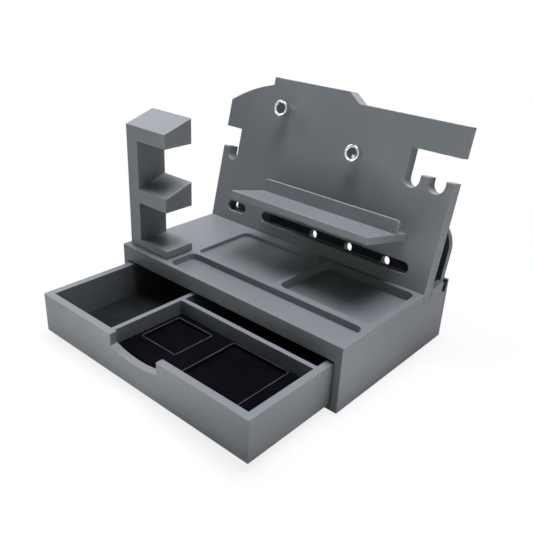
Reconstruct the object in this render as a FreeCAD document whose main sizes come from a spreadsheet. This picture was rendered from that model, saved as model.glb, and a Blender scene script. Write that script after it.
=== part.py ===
import FreeCAD, Part
import os
import re

import Sketcher

# Valet box with a drawer, a leaning display panel and a two-armed watch stand.
#
# The formulas measure from the front left bottom corner of the box: x to the right, y to the back
# and z up.  place() then moves the origin to the middle of the base's underside.
# The drawer is modelled pulled out by drawer_open.
# The display panel and what hangs on it are drawn in the panel's own leaning frame:
# x along the box, t through the panel to the back, and s up the slope from the tray.

SIZES = {
    # carcass
    "box_width": 350.0,
    "box_depth": 221.0,
    "box_height": 80.0,
    "side_thickness": 9.0,
    "tray_thickness": 20.0,
    "base_thickness": 6.0,
    "back_thickness": 9.0,
    "edge_round": 0.8,
    # recesses in the tray
    "groove_right_border": 7.0,
    "pocket_right_border": 8.0,
    "groove_front": 6.0,
    "groove_depth": 8.0,
    "groove_length": 41.5,
    "groove_left": 83.0,
    "recess_front": 53.0,
    "recess_width": 126.0,
    "recess_depth": 5.0,
    "recess_panel_gap": 15.0,
    "pocket_front": 57.0,
    "pocket_width": 126.0,
    "pocket_depth": 12.0,
    "pocket_panel_gap": 6.0,
    "recess_corner": 9.0,
    # cable trough behind the panel
    "trough_behind_panel": 9.5,
    "trough_depth": 13.0,
    # drawer
    "drawer_open": 124.0,
    "drawer_reach": 26.0,
    "drawer_side_gap": 1.5,
    "drawer_top_gap": 3.5,
    "drawer_under_gap": 1.0,
    "drawer_board": 9.0,
    "slide_clearance": 0.05,
    "soft_clearance": 0.3,
    "grip_width": 75.0,
    "grip_wall": 14.0,
    "grip_radius": 130.0,
    "floor_height": 3.0,
    "floor_thickness": 3.2,
    "groove_bite": 4.0,
    "divider_x": 128.0,
    "divider_thickness": 6.0,
    "divider_housing": 2.0,
    "cross_from_front": 104.0,
    "lining_thickness": 1.0,
    # velvet insert
    "insert_drop": 17.0,
    "well_depth": 4.0,
    "small_well": 56.5,
    "small_well_left": 5.8,
    "small_well_back": 8.4,
    "large_well": 80.0,
    "large_well_right": 28.0,
    "large_well_back": 1.8,
    "trim_width": 1.2,
    "trim_proud": 0.4,
    # drawer stops, runners and feet
    "runner_width": 10.0,
    "catch_width": 22.0,
    "catch_thickness": 8.0,
    "catch_height": 20.0,
    "catch_rise": 3.0,
    "catch_inset": 60.0,
    "stop_width": 12.0,
    "bumper_radius": 5.0,
    "bumper_thickness": 3.0,
    "bumper_inset": 40.0,
    "pad_radius": 8.0,
    "pad_thickness": 1.5,
    "pad_inset": 18.0,
    # display panel
    "panel_from_back": 61.0,
    "panel_thickness": 18.0,
    "panel_lean": 13.0,
    "panel_root": 12.0,
    "left_prong_width": 11.0,
    "left_prong_top": 101.5,
    "left_notch_width": 16.7,
    "left_notch_floor": 85.0,
    "left_arm_under": 129.0,
    "ledge_low": 165.5,
    "ledge_high": 195.8,
    "ledge_reach": 70.5,
    "ledge_radius": 215.0,
    "crown_top": 206.0,
    "crown_from_right": 160.0,
    "crown_cut": 17.0,
    "shoulder_top": 194.0,
    "right_arm_under": 159.0,
    "right_prong_top": 131.0,
    "right_notch_floor": 114.5,
    "inner_notch_width": 20.0,
    "inner_prong_width": 11.0,
    "outer_notch_width": 21.0,
    "outer_prong_width": 10.0,
    "slot_low": 15.0,
    "slot_width": 14.0,
    "slot_left": 91.3,
    "slot_from_right": 28.0,
    "small_slot_left": 28.0,
    "small_slot_right": 61.0,
    # shelf and lip
    "shelf_top": 62.0,
    "shelf_thickness": 9.0,
    "shelf_left": 106.0,
    "shelf_from_right": 41.0,
    "shelf_depth": 87.0,
    "lip_offset": 25.0,
    "lip_thickness": 5.0,
    "lip_height": 16.0,
    "lip_corner": 5.0,
    # rear support
    "support_thickness": 9.0,
    "support_from_back": 12.8,
    "support_recess": 5.0,
    "support_height": 76.0,
    "support_corner": 40.0,
    "support_root": 13.5,
    "support_slot_fit": 0.1,
    "cable_hole_radius": 6.0,
    "cable_hole_pitch": 58.5,
    "cable_hole_from_right": 83.0,
    # knobs
    "knob_radius": 10.25,
    "knob_head": 9.0,
    "knob_standoff": 18.0,
    "knob_neck_radius": 5.0,
    "knob_face_dish": 0.8,
    "upper_knob_x": 101.9,
    "upper_knob_rise": 169.0,
    "lower_knob_from_right": 128.4,
    "lower_knob_rise": 136.7,
    # watch stand
    "stand_x": 7.0,
    "stand_y": 8.0,
    "stand_width": 70.0,
    "stand_depth": 42.0,
    "stand_pad": 1.0,
    "stand_pad_inset": 1.5,
    "foot_height": 10.0,
    "post_width": 20.0,
    "post_height": 145.5,
    "top_rise": 13.5,
    "arm_height": 17.5,
    "lower_arm_drop": 78.0,
    # fasteners
    "fit_clearance": 0.03,
    "nail_radius": 1.0,
    "nail_length": 30.0,
    "nail_front": 60.0,
    "nail_middle": 115.0,
    "nail_back": 31.0,
    "screw_radius": 1.75,
    "screw_head_radius": 3.5,
    "screw_head_height": 2.0,
    "shelf_screw_length": 30.0,
    "shelf_screw_inset": 25.0,
    "knob_screw_length": 24.0,
    "panel_screw_length": 22.0,
    "panel_screw_inset": 60.0,
    "panel_screw_skin": 3.5,
    "stand_screw_skin": 3.0,
    "stand_screw_inset": 12.0,
    "dowel_radius": 3.0,
    "dowel_length": 24.0,
    "pin_radius": 2.0,
    "pin_length": 16.0,
    "pin_bite": 6.0,
    "lip_pin_radius": 1.5,
    "lip_pin_length": 12.0,
}

doc = FreeCAD.newDocument("ValetBox")
sheet = doc.addObject("Spreadsheet::Sheet", "Sizes")
for row, (alias, size) in enumerate(SIZES.items(), start=1):
    sheet.set("A%d" % row, alias)
    sheet.set("B%d" % row, "%g" % size)
    sheet.setAlias("B%d" % row, alias)
doc.recompute()

SIZE_WORD = re.compile(r"\b(" + "|".join(sorted(SIZES, key=len, reverse=True)) + r")\b")

# Heights and places that several pieces share, as formulas in the sheet's words.
INNER_LEFT = "side_thickness"
INNER_RIGHT = "(box_width - side_thickness)"
INNER_WIDTH = "(box_width - 2 * side_thickness)"
TRAY_UNDER = "(box_height - tray_thickness)"
BACK_FACE = "(box_depth - back_thickness)"
PANEL_Y = "(box_depth - panel_from_back)"
SUPPORT_Y = "(box_depth - support_from_back)"
TROUGH_FLOOR = "(box_height - trough_depth)"
TROUGH_FRONT = "(%s + panel_thickness / cos(panel_lean) + trough_behind_panel)" % PANEL_Y

DRAWER_LEFT = "(side_thickness + drawer_side_gap)"
DRAWER_RIGHT = "(box_width - side_thickness - drawer_side_gap)"
DRAWER_WIDTH = "(box_width - 2 * side_thickness - 2 * drawer_side_gap)"
DRAWER_FRONT = "(0 - drawer_open)"
DRAWER_BOTTOM = "(base_thickness + drawer_under_gap)"
DRAWER_TOP = "(box_height - tray_thickness - drawer_top_gap)"
DRAWER_HEIGHT = "(%s - %s)" % (DRAWER_TOP, DRAWER_BOTTOM)
DRAWER_LENGTH = "(box_depth - back_thickness - bumper_thickness - soft_clearance)"
DRAWER_END = "(%s - drawer_open)" % DRAWER_LENGTH
FRONT_INSIDE = "(drawer_board - drawer_open)"
BACK_INSIDE = "(%s - drawer_board)" % DRAWER_END
LEFT_INSIDE = "(%s + drawer_board)" % DRAWER_LEFT
RIGHT_INSIDE = "(%s - drawer_board)" % DRAWER_RIGHT
FLOOR_UNDER = "(%s + floor_height)" % DRAWER_BOTTOM
FLOOR_TOP = "(%s + floor_thickness)" % FLOOR_UNDER
DIVIDER_RIGHT = "(divider_x + divider_thickness)"
CROSS_FRONT = "(cross_from_front - drawer_open)"
CROSS_BACK = "(%s + divider_thickness)" % CROSS_FRONT
INSERT_TOP = "(%s - insert_drop)" % DRAWER_TOP

STAND_BASE = "(box_height + stand_pad)"
FOOT_TOP = "(%s + foot_height)" % STAND_BASE
POST_TOP = "(%s + post_height)" % FOOT_TOP
POST_RIGHT = "(stand_x + post_width)"
ARM_LENGTH = "(stand_width - post_width)"


def words(formula):
    """Put the sheet's name before each size word of a formula."""
    return SIZE_WORD.sub(r"Sizes.\1", formula)


def number(formula):
    """Work a formula out with the sheet's present values."""
    return float(sheet.evalExpression(words(formula)))


def bind(item, prop, formula):
    """Tie a property of a document object to a formula."""
    item.setExpression(prop, words(formula))


def place(item, x, y, z):
    """Tie the position of an object to three formulas, from the box's front left corner."""
    bind(item, ".Placement.Base.x", "(%s) - box_width / 2" % x)
    bind(item, ".Placement.Base.y", "(%s) - box_depth / 2" % y)
    bind(item, ".Placement.Base.z", z)


def lean(item, x, t, s, y=PANEL_Y, turn="0"):
    """Place an object in the leaning frame that starts at depth y on the tray.

    turn adds degrees about X, so 90 lays an upright cylinder along t.
    """
    item.Placement.Rotation = FreeCAD.Rotation(FreeCAD.Vector(-1, 0, 0), 1)
    bind(item, ".Placement.Rotation.Angle", "panel_lean + %s" % turn)
    along_y = "%s + (%s) * cos(panel_lean) + (%s) * sin(panel_lean)" % (y, t, s)
    along_z = "box_height - (%s) * sin(panel_lean) + (%s) * cos(panel_lean)" % (t, s)
    place(item, x, along_y, along_z)


def block(name, x, y, z, width, depth, height):
    """Make an upright rectangular block from six formulas."""
    item = doc.addObject("Part::Box", name)
    bind(item, "Length", width)
    bind(item, "Width", depth)
    bind(item, "Height", height)
    place(item, x, y, z)
    return item


def leaning_block(name, x, t, s, width, depth, height, y=PANEL_Y):
    """Make a rectangular block in the leaning frame that starts at depth y."""
    item = block(name, "0", "0", "0", width, depth, height)
    lean(item, x, t, s, y)
    return item


def rod(name, x, y, z, radius, length, axis="z"):
    """Make a cylinder along z, or along x or y."""
    item = doc.addObject("Part::Cylinder", name)
    bind(item, "Radius", radius)
    bind(item, "Height", length)
    if axis == "x":
        item.Placement.Rotation = FreeCAD.Rotation(FreeCAD.Vector(0, 1, 0), 90)
    if axis == "y":
        item.Placement.Rotation = FreeCAD.Rotation(FreeCAD.Vector(-1, 0, 0), 90)
    place(item, x, y, z)
    return item


def leaning_rod(name, x, t, s, radius, length, y=PANEL_Y, through=True):
    """Make a cylinder in the leaning frame, through the panel or up its slope."""
    item = rod(name, "0", "0", "0", radius, length)
    lean(item, x, t, s, y, "90" if through else "0")
    return item


def joined(name, pieces):
    """Keep several solids together as one sub-part, without melting separate solids."""
    item = doc.addObject("Part::Compound", name)
    item.Links = pieces
    return item


def carved(name, stock, cutters):
    """Take a list of cutters off a piece of stock."""
    tool = cutters[0]
    if len(cutters) > 1:
        tool = doc.addObject("Part::MultiFuse", name + "_cutters")
        tool.Shapes = cutters
    item = doc.addObject("Part::Cut", name)
    item.Base = stock
    item.Tool = tool
    return item


def origin_plane(body, role):
    """Find one of a body's own origin planes by its role."""
    return [plane for plane in body.Origin.OriginFeatures if plane.Role == role][0]


def pin_vertex(sketch, edge, end, x, y):
    """Hold one end of a sketch edge at two formulas, measured from the sketch's origin."""
    for kind, axis, formula in (("DistanceX", -2, x), ("DistanceY", -1, y)):
        value = number(formula)
        if formula == "0":
            sketch.addConstraint(Sketcher.Constraint("PointOnObject", edge, end, axis))
        else:
            index = sketch.addConstraint(Sketcher.Constraint(kind, -1, 1, edge, end, value))
            bind(sketch, "Constraints[%d]" % index, formula)


def add_loop(sketch, corners):
    """Draw one closed loop of straight edges and arcs.

    Each corner is (x, y) or (x, y, radius, turn): then an arc of that radius runs from this corner
    to the next, and turn is 1 where it bends to the left and -1 where it bends to the right.
    """
    first = sketch.GeometryCount
    count = len(corners)
    points = [FreeCAD.Vector(number(corner[0]), number(corner[1]), 0) for corner in corners]
    for index, corner in enumerate(corners):
        start = points[index]
        end = points[(index + 1) % count]
        if len(corner) == 2:
            sketch.addGeometry(Part.LineSegment(start, end))
            continue
        radius = number(corner[2])
        turn = corner[3]
        chord = end - start
        half = chord.Length / 2
        reach = max(radius * radius - half * half, 0.0) ** 0.5
        side = FreeCAD.Vector(-chord.y, chord.x, 0).normalize() * turn
        centre = (start + end) * 0.5 + side * reach
        sketch.addGeometry(Part.Arc(start, centre - side * radius, end))
    for index in range(count):
        edge = first + index
        following = first + (index + 1) % count
        bends = len(corners[index]) > 2 and corners[index][3] < 0
        bends_next = len(corners[(index + 1) % count]) > 2 and corners[(index + 1) % count][3] < 0
        leaving = 1 if bends else 2
        entering = 2 if bends_next else 1
        sketch.addConstraint(Sketcher.Constraint("Coincident", edge, leaving, following, entering))
    for index, corner in enumerate(corners):
        edge = first + index
        start_end = 2 if len(corner) > 2 and corner[3] < 0 else 1
        pin_vertex(sketch, edge, start_end, corner[0], corner[1])
    for index, corner in enumerate(corners):
        if len(corner) > 2:
            pin_arc(sketch, first + index, corner, corners[(index + 1) % count])


def pin_arc(sketch, edge, corner, following):
    """Hold an arc: a half round by its centre, any other arc by its radius."""
    radius = number(corner[2])
    span_x = number(following[0]) - number(corner[0])
    span_y = number(following[1]) - number(corner[1])
    half = (span_x ** 2 + span_y ** 2) ** 0.5 / 2
    if abs(half - radius) > 1e-6:
        index = sketch.addConstraint(Sketcher.Constraint("Radius", edge, radius))
        bind(sketch, "Constraints[%d]" % index, corner[2])
        return
    if abs(span_y) < abs(span_x):
        kind, formula = "DistanceY", corner[1]
    else:
        kind, formula = "DistanceX", corner[0]
    index = sketch.addConstraint(Sketcher.Constraint(kind, -1, 1, edge, 3, number(formula)))
    bind(sketch, "Constraints[%d]" % index, formula)


def padded(name, role, loops, thickness, reverse=False):
    """Make a body that is one padded sketch on one of its own origin planes."""
    body = doc.addObject("PartDesign::Body", name)
    sketch = body.newObject("Sketcher::SketchObject", name + "_outline")
    sketch.AttachmentSupport = [(origin_plane(body, role), "")]
    sketch.MapMode = "FlatFace"
    for loop in loops:
        add_loop(sketch, loop)
    pad = body.newObject("PartDesign::Pad", name + "_pad")
    pad.Profile = sketch
    pad.Reversed = reverse
    bind(pad, "Length", thickness)
    doc.recompute()
    return body


def soft_edges(name, stock, wanted, frame=None):
    """Round the edges whose middle point passes a test in the stock's or another object's frame."""
    doc.recompute()
    size = number("edge_round")
    to_own_frame = (frame or stock).Placement.inverse()
    chosen = []
    for index, edge in enumerate(stock.Shape.Edges, start=1):
        middle = edge.valueAt((edge.FirstParameter + edge.LastParameter) / 2)
        if wanted(to_own_frame.multVec(middle)):
            chosen.append((index, size, size))
    item = doc.addObject("Part::Fillet", name)
    item.Base = stock
    item.Edges = chosen
    return item


def rounded_rectangle(left, front, right, back, corner):
    """Give the eight corners of a rectangle with round corners, drawn to the left."""
    return [
        ("%s + %s" % (left, corner), front),
        ("%s - %s" % (right, corner), front, corner, 1),
        (right, "%s + %s" % (front, corner)),
        (right, "%s - %s" % (back, corner), corner, 1),
        ("%s - %s" % (right, corner), back),
        ("%s + %s" % (left, corner), back, corner, 1),
        (left, "%s - %s" % (back, corner)),
        (left, "%s + %s" % (front, corner), corner, 1),
    ]


def hole(name, x, y, z, radius, length, axis="z"):
    """Make the cutter of a hole that takes a rod with the fit clearance."""
    return rod(name, x, y, z, "%s + fit_clearance" % radius, length, axis)


def leaning_hole(name, x, t, s, radius, length, through=True):
    """Make the cutter of a hole in the panel's frame with the fit clearance."""
    return leaning_rod(name, x, t, s, "%s + fit_clearance" % radius, length, PANEL_Y, through)


# ---------------------------------------------------------------------------------------------
# Places of the fasteners, as formulas.  Each list is used for the fasteners and for their holes.

SIDE_NAIL_SPOTS = [
    ("nail_front", "base_thickness / 2"),
    ("nail_middle", "base_thickness / 2"),
    ("(%s - nail_back)" % BACK_FACE, "base_thickness / 2"),
    ("(box_depth - back_thickness / 2)", "(%s / 2)" % TRAY_UNDER),
]
CARCASS_PIN_SPOTS = ["nail_front", "nail_middle", "(%s - nail_back)" % BACK_FACE]
CARCASS_PIN_ENDS = ["side_thickness / 2", "(box_width - side_thickness / 2)"]
PANEL_SCREW_SPOTS = ["panel_screw_inset", "box_width / 2", "(box_width - panel_screw_inset)"]
SHELF_SCREW_SPOTS = [
    "(shelf_left + shelf_screw_inset)",
    "((shelf_left + box_width - shelf_from_right) / 2)",
    "(box_width - shelf_from_right - shelf_screw_inset)",
]
LIP_PIN_SPOTS = [SHELF_SCREW_SPOTS[0], SHELF_SCREW_SPOTS[2]]
KNOB_SPOTS = [
    ("upper_knob_x", "upper_knob_rise"),
    ("(box_width - lower_knob_from_right)", "lower_knob_rise"),
]
STAND_SCREW_SPOTS = [
    "(stand_x + post_width / 2)",
    "(stand_x + stand_width - stand_screw_inset)",
]
STAND_MIDDLE_Y = "(stand_y + stand_depth / 2)"
STAND_DOWEL_ROWS = ["(stand_y + stand_depth / 4)", "(stand_y + 3 * stand_depth / 4)"]
DRAWER_PIN_HEIGHTS = [
    "(%s + %s / 4)" % (DRAWER_BOTTOM, DRAWER_HEIGHT),
    "(%s + 3 * %s / 4)" % (DRAWER_BOTTOM, DRAWER_HEIGHT),
]
SHELF_MIDDLE = "(shelf_top - shelf_thickness / 2)"
LIP_MIDDLE = "(0 - lip_offset + lip_thickness / 2)"
PIN_HALF = "(pin_length / 2)"
DOWEL_BITE = "(foot_height - stand_screw_skin)"


# ---------------------------------------------------------------------------------------------
# Carcass


def side_nails():
    """Headless nails that hold the base and the back between the sides."""
    nails = []
    for index, (y, z) in enumerate(SIDE_NAIL_SPOTS):
        nails.append(rod("left_nail_%d" % index, "0", y, z, "nail_radius", "nail_length", "x"))
        start = "box_width - nail_length"
        nails.append(rod("right_nail_%d" % index, start, y, z, "nail_radius", "nail_length", "x"))
    return joined("side_nails", nails)


def nail_holes(name):
    """Cutters for the nails of one side, or of the pieces between the sides."""
    holes = []
    for index, (y, z) in enumerate(SIDE_NAIL_SPOTS):
        tag = "%s_nail_hole_%d" % (name, index)
        holes.append(hole(tag + "l", "0", y, z, "nail_radius", "nail_length", "x"))
        start = "box_width - nail_length"
        holes.append(hole(tag + "r", start, y, z, "nail_radius", "nail_length", "x"))
    return holes


def carcass_pins():
    """Upright pins that join the tray to the tops of the sides."""
    pins = []
    for row, y in enumerate(CARCASS_PIN_SPOTS):
        for end, x in enumerate(CARCASS_PIN_ENDS):
            start = "%s - %s" % (TRAY_UNDER, PIN_HALF)
            pins.append(rod("carcass_pin_%d%d" % (row, end), x, y, start,
                            "pin_radius", "pin_length"))
    return joined("carcass_pins", pins)


def carcass_pin_holes(name):
    """Cutters for the upright pins."""
    holes = []
    for row, y in enumerate(CARCASS_PIN_SPOTS):
        for end, x in enumerate(CARCASS_PIN_ENDS):
            start = "%s - %s" % (TRAY_UNDER, PIN_HALF)
            holes.append(hole("%s_pin_hole_%d%d" % (name, row, end), x, y, start,
                              "pin_radius", "pin_length"))
    return holes


def side_board(name, x, outer_face):
    """One side of the carcass, under the tray, with the edges of its outer face rounded."""
    board = block(name + "_board", x, "0", "0", "side_thickness", "box_depth", TRAY_UNDER)
    outer = number(outer_face)
    under_tray = number(TRAY_UNDER)

    def on_outer_face(middle):
        return abs(middle.x - outer) < 0.01 and middle.z < under_tray - 0.01

    shaped = soft_edges(name + "_rounded", board, on_outer_face)
    return carved(name, shaped, nail_holes(name) + carcass_pin_holes(name))


def base_floor():
    """The bottom board between the sides, that the drawer slides over."""
    board = block("base_board", INNER_LEFT, "0", "0", INNER_WIDTH, BACK_FACE, "base_thickness")
    return carved("base_floor", board, nail_holes("base"))


def back_wall():
    """The upright back board between the sides, under the tray."""
    board = block("back_board", INNER_LEFT, BACK_FACE, "0", INNER_WIDTH, "back_thickness",
                  TRAY_UNDER)
    return carved("back_wall", board, nail_holes("back"))


def recess(name, left, front, right, back, depth):
    """Cutter of a round-cornered recess that opens at the tray's top."""
    loop = rounded_rectangle(left, front, right, back, "recess_corner")
    body = padded(name, "XY_Plane", [loop], "%s + tray_thickness" % depth)
    place(body, "0", "0", "box_height - %s" % depth)
    return body


def root_slot(name):
    """Cutter of the slanted slot that takes the foot of the display panel."""
    return leaning_block(name, "0", "0", "0 - panel_root", "box_width", "panel_thickness",
                         "panel_root + tray_thickness")


def support_slot(name):
    """Cutter of the slanted slot that takes the foot of the rear support."""
    return leaning_block(name, "0", "0 - support_slot_fit", "0 - support_root", "box_width",
                         "support_thickness + 2 * support_slot_fit",
                         "support_root + tray_thickness", SUPPORT_Y)


def panel_screw_holes(name):
    """Cutters for the screws that come up through the tray into the panel's foot."""
    holes = []
    seat = "(0 - panel_root - panel_screw_skin)"
    for index, x in enumerate(PANEL_SCREW_SPOTS):
        tag = "%s_screw_%d" % (name, index)
        holes.append(leaning_hole(tag, x, "panel_thickness / 2", seat, "screw_radius",
                                  "panel_screw_length", False))
        holes.append(leaning_hole(tag + "_head", x, "panel_thickness / 2",
                                  seat + " - tray_thickness", "screw_head_radius",
                                  "tray_thickness", False))
    return holes


def stand_screw_holes(name):
    """Cutters for the screws that come up through the tray into the stand's foot."""
    holes = []
    seat = "(%s + screw_head_height)" % TRAY_UNDER
    for index, x in enumerate(STAND_SCREW_SPOTS):
        tag = "%s_stand_screw_%d" % (name, index)
        holes.append(hole(tag, x, STAND_MIDDLE_Y, seat, "screw_radius",
                          "%s - stand_screw_skin - %s" % (FOOT_TOP, seat)))
        holes.append(hole(tag + "_head", x, STAND_MIDDLE_Y, seat + " - tray_thickness",
                          "screw_head_radius", "tray_thickness"))
    return holes


def tray_top():
    """The thick top board with its recesses, slanted slots and rear cable trough."""
    board = block("tray_board", "0", "0", TRAY_UNDER, "box_width", "box_depth", "tray_thickness")
    width = number("box_width")
    thickness = number("tray_thickness")

    def outer_edges(middle):
        """The upper edges at the ends and front, and the upright corners."""
        at_end = middle.x < 0.01 or middle.x > width - 0.01
        upper = middle.z > thickness - 0.01
        upright = abs(middle.z - thickness / 2) < 0.01
        return (at_end and (upright or upper)) or (middle.y < 0.01 and upper)

    shaped = soft_edges("tray_rounded", board, outer_edges)
    trough = block("trough", "side_thickness", TROUGH_FRONT, TROUGH_FLOOR, INNER_WIDTH,
                   "box_depth", "tray_thickness")
    groove = recess("pen_groove", "groove_left", "groove_front",
                    "(box_width - groove_right_border)", "(groove_front + groove_length)",
                    "groove_depth")
    shallow = recess("coin_recess", "groove_left", "recess_front",
                     "(groove_left + recess_width)", "(%s - recess_panel_gap)" % PANEL_Y,
                     "recess_depth")
    pocket_right = "(box_width - pocket_right_border)"
    deep = recess("wallet_pocket", "(%s - pocket_width)" % pocket_right, "pocket_front",
                  pocket_right, "(%s - pocket_panel_gap)" % PANEL_Y, "pocket_depth")
    cutters = [trough, groove, shallow, deep, root_slot("tray_root_slot"),
               support_slot("tray_support_slot")]
    cutters += panel_screw_holes("tray") + stand_screw_holes("tray") + carcass_pin_holes("tray")
    return carved("tray_top", shaped, cutters)


def foot_pads():
    """Round felt pads under the base."""
    pads = []
    inset_x = "(side_thickness + pad_inset)"
    for across, x in enumerate((inset_x, "(box_width - %s)" % inset_x)):
        for along, y in enumerate(("pad_inset", "(box_depth - pad_inset)")):
            pads.append(rod("foot_pad_%d%d" % (across, along), x, y, "0 - pad_thickness",
                            "pad_radius", "pad_thickness"))
    return joined("foot_pads", pads)


def drawer_runners():
    """Slick strips on the base that carry the drawer."""
    strips = []
    thickness = "drawer_under_gap - slide_clearance"
    for name, x in (("left", DRAWER_LEFT), ("right", "(%s - runner_width)" % DRAWER_RIGHT)):
        strips.append(block("runner_" + name, x, "0", "base_thickness", "runner_width",
                            BACK_FACE, thickness))
    return joined("drawer_runners", strips)


def drawer_bumpers():
    """Felt stops on the back wall, that the closed drawer comes to rest against."""
    stops = []
    y = "%s - bumper_thickness" % BACK_FACE
    middle = "((%s + %s) / 2)" % (DRAWER_BOTTOM, DRAWER_TOP)
    for index, x in enumerate(("(side_thickness + bumper_inset)",
                               "(box_width - side_thickness - bumper_inset)")):
        stops.append(rod("bumper_%d" % index, x, y, middle, "bumper_radius",
                         "bumper_thickness", "y"))
    return joined("drawer_bumpers", stops)


def drawer_stop():
    """Strip under the tray that catches the blocks at the back of the drawer."""
    height = "drawer_top_gap - 2 * soft_clearance"
    rear = "(%s - catch_thickness - drawer_reach - slide_clearance)" % BACK_INSIDE
    return block("drawer_stop", "(side_thickness + catch_inset / 2)", "%s - stop_width" % rear,
                 "%s - (%s)" % (TRAY_UNDER, height), "(%s - catch_inset)" % INNER_WIDTH,
                 "stop_width", height)


# ---------------------------------------------------------------------------------------------
# Drawer


def floor_slab(name, play):
    """The drawer's thin floor, or with play the cutter of its grooves."""
    bite = "(groove_bite + %s)" % play
    return block(name, "%s - %s" % (LEFT_INSIDE, bite), "%s - %s" % (FRONT_INSIDE, bite),
                 FLOOR_UNDER, "%s - %s + 2 * %s" % (RIGHT_INSIDE, LEFT_INSIDE, bite),
                 "%s - %s + 2 * %s" % (BACK_INSIDE, FRONT_INSIDE, bite), "floor_thickness")


def divider_slab(name, top):
    """The long divider's block, housed in the front and back."""
    return block(name, "divider_x", "%s - divider_housing" % FRONT_INSIDE, FLOOR_TOP,
                 "divider_thickness",
                 "%s - %s + 2 * divider_housing" % (BACK_INSIDE, FRONT_INSIDE),
                 "%s - %s" % (top, FLOOR_TOP))


def cross_slab(name, top):
    """The cross divider's block, housed in the long divider and the right side."""
    return block(name, "%s - divider_housing" % DIVIDER_RIGHT, CROSS_FRONT, FLOOR_TOP,
                 "%s - %s + 2 * divider_housing" % (RIGHT_INSIDE, DIVIDER_RIGHT),
                 "divider_thickness", "%s - %s" % (top, FLOOR_TOP))


def drawer_pin_places():
    """Give x, y and axis of each drawer pin: sides into the front, and sides into the back."""
    spots = []
    for x in ("%s + drawer_board / 2" % DRAWER_LEFT, "%s + drawer_board / 2" % RIGHT_INSIDE):
        spots.append((x, "%s - pin_bite" % FRONT_INSIDE, "y"))
    back_middle = "%s + drawer_board / 2" % BACK_INSIDE
    spots.append(("%s - pin_bite" % LEFT_INSIDE, back_middle, "x"))
    spots.append(("%s + pin_bite - pin_length" % RIGHT_INSIDE, back_middle, "x"))
    return spots


def drawer_pins():
    """Hidden pins at the four corners of the drawer."""
    pins = []
    for row, z in enumerate(DRAWER_PIN_HEIGHTS):
        for spot, (x, y, axis) in enumerate(drawer_pin_places()):
            pins.append(rod("drawer_pin_%d%d" % (row, spot), x, y, z, "pin_radius",
                            "pin_length", axis))
    return joined("drawer_pins", pins)


def drawer_pin_holes(name):
    """Cutters for the drawer's corner pins."""
    holes = []
    for row, z in enumerate(DRAWER_PIN_HEIGHTS):
        for spot, (x, y, axis) in enumerate(drawer_pin_places()):
            holes.append(hole("%s_pin_hole_%d%d" % (name, row, spot), x, y, z, "pin_radius",
                              "pin_length", axis))
    return holes


def drawer_front():
    """The drawer's front with a finger cut-out in its top edge."""
    grip_left = "(%s / 2 - grip_width / 2)" % DRAWER_WIDTH
    grip_right = "(%s / 2 + grip_width / 2)" % DRAWER_WIDTH
    step = "(%s - grip_wall)" % DRAWER_HEIGHT
    loop = [
        ("0", "0"),
        (DRAWER_WIDTH, "0"),
        (DRAWER_WIDTH, DRAWER_HEIGHT),
        (grip_right, DRAWER_HEIGHT),
        (grip_right, step, "grip_radius", -1),
        (grip_left, step),
        (grip_left, DRAWER_HEIGHT),
        ("0", DRAWER_HEIGHT),
    ]
    body = padded("drawer_front_board", "XZ_Plane", [loop], "drawer_board", True)
    place(body, DRAWER_LEFT, DRAWER_FRONT, DRAWER_BOTTOM)

    def on_front_face(middle):
        return middle.y < 0.01

    shaped = soft_edges("drawer_front_rounded", body, on_front_face)
    cutters = [floor_slab("front_floor_groove", "fit_clearance"),
               divider_slab("front_divider_groove", "box_height")]
    return carved("drawer_front", shaped, cutters + drawer_pin_holes("front"))


def drawer_side(name, x, cutters):
    """One side of the drawer, between its front and the back corner."""
    board = block(name + "_board", x, FRONT_INSIDE, DRAWER_BOTTOM, "drawer_board",
                  "%s - %s" % (DRAWER_END, FRONT_INSIDE), DRAWER_HEIGHT)
    return carved(name, board, cutters + drawer_pin_holes(name))


def drawer_back():
    """The drawer's back, between its sides."""
    board = block("drawer_back_board", LEFT_INSIDE, BACK_INSIDE, DRAWER_BOTTOM,
                  "%s - %s" % (RIGHT_INSIDE, LEFT_INSIDE), "drawer_board", DRAWER_HEIGHT)
    cutters = [floor_slab("back_floor_groove", "fit_clearance"),
               divider_slab("back_divider_groove", "box_height")]
    return carved("drawer_back", board, cutters + drawer_pin_holes("drawer_back"))


def long_divider():
    """The divider that runs from front to back."""
    return carved("long_divider", divider_slab("long_divider_board", DRAWER_TOP),
                  [cross_slab("cross_groove", "box_height")])


def drawer_catches():
    """Blocks at the drawer's back that stand above it and meet the stop strip."""
    blocks = []
    bottom = "(%s + catch_rise - catch_height)" % DRAWER_TOP
    y = "%s - catch_thickness" % BACK_INSIDE
    for index, x in enumerate(("(%s + catch_inset)" % LEFT_INSIDE,
                               "(%s - catch_inset - catch_width)" % RIGHT_INSIDE)):
        blocks.append(block("catch_%d" % index, x, y, bottom, "catch_width",
                            "catch_thickness", "catch_height"))
    return joined("drawer_catches", blocks)


def drawer_lining(name, left, right, front, back):
    """A felt sheet on the floor of one compartment."""
    return block(name, left, front, FLOOR_TOP, "%s - %s" % (right, left),
                 "%s - %s" % (back, front), "lining_thickness")


def well_places():
    """Give name, left, front and side of each well of the insert."""
    small_left = "(%s + small_well_left)" % DIVIDER_RIGHT
    small_front = "(%s - small_well_back - small_well)" % CROSS_FRONT
    large_left = "(%s - large_well_right - large_well)" % RIGHT_INSIDE
    large_front = "(%s - large_well_back - large_well)" % CROSS_FRONT
    return [("small", small_left, small_front, "small_well"),
            ("large", large_left, large_front, "large_well")]


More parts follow.
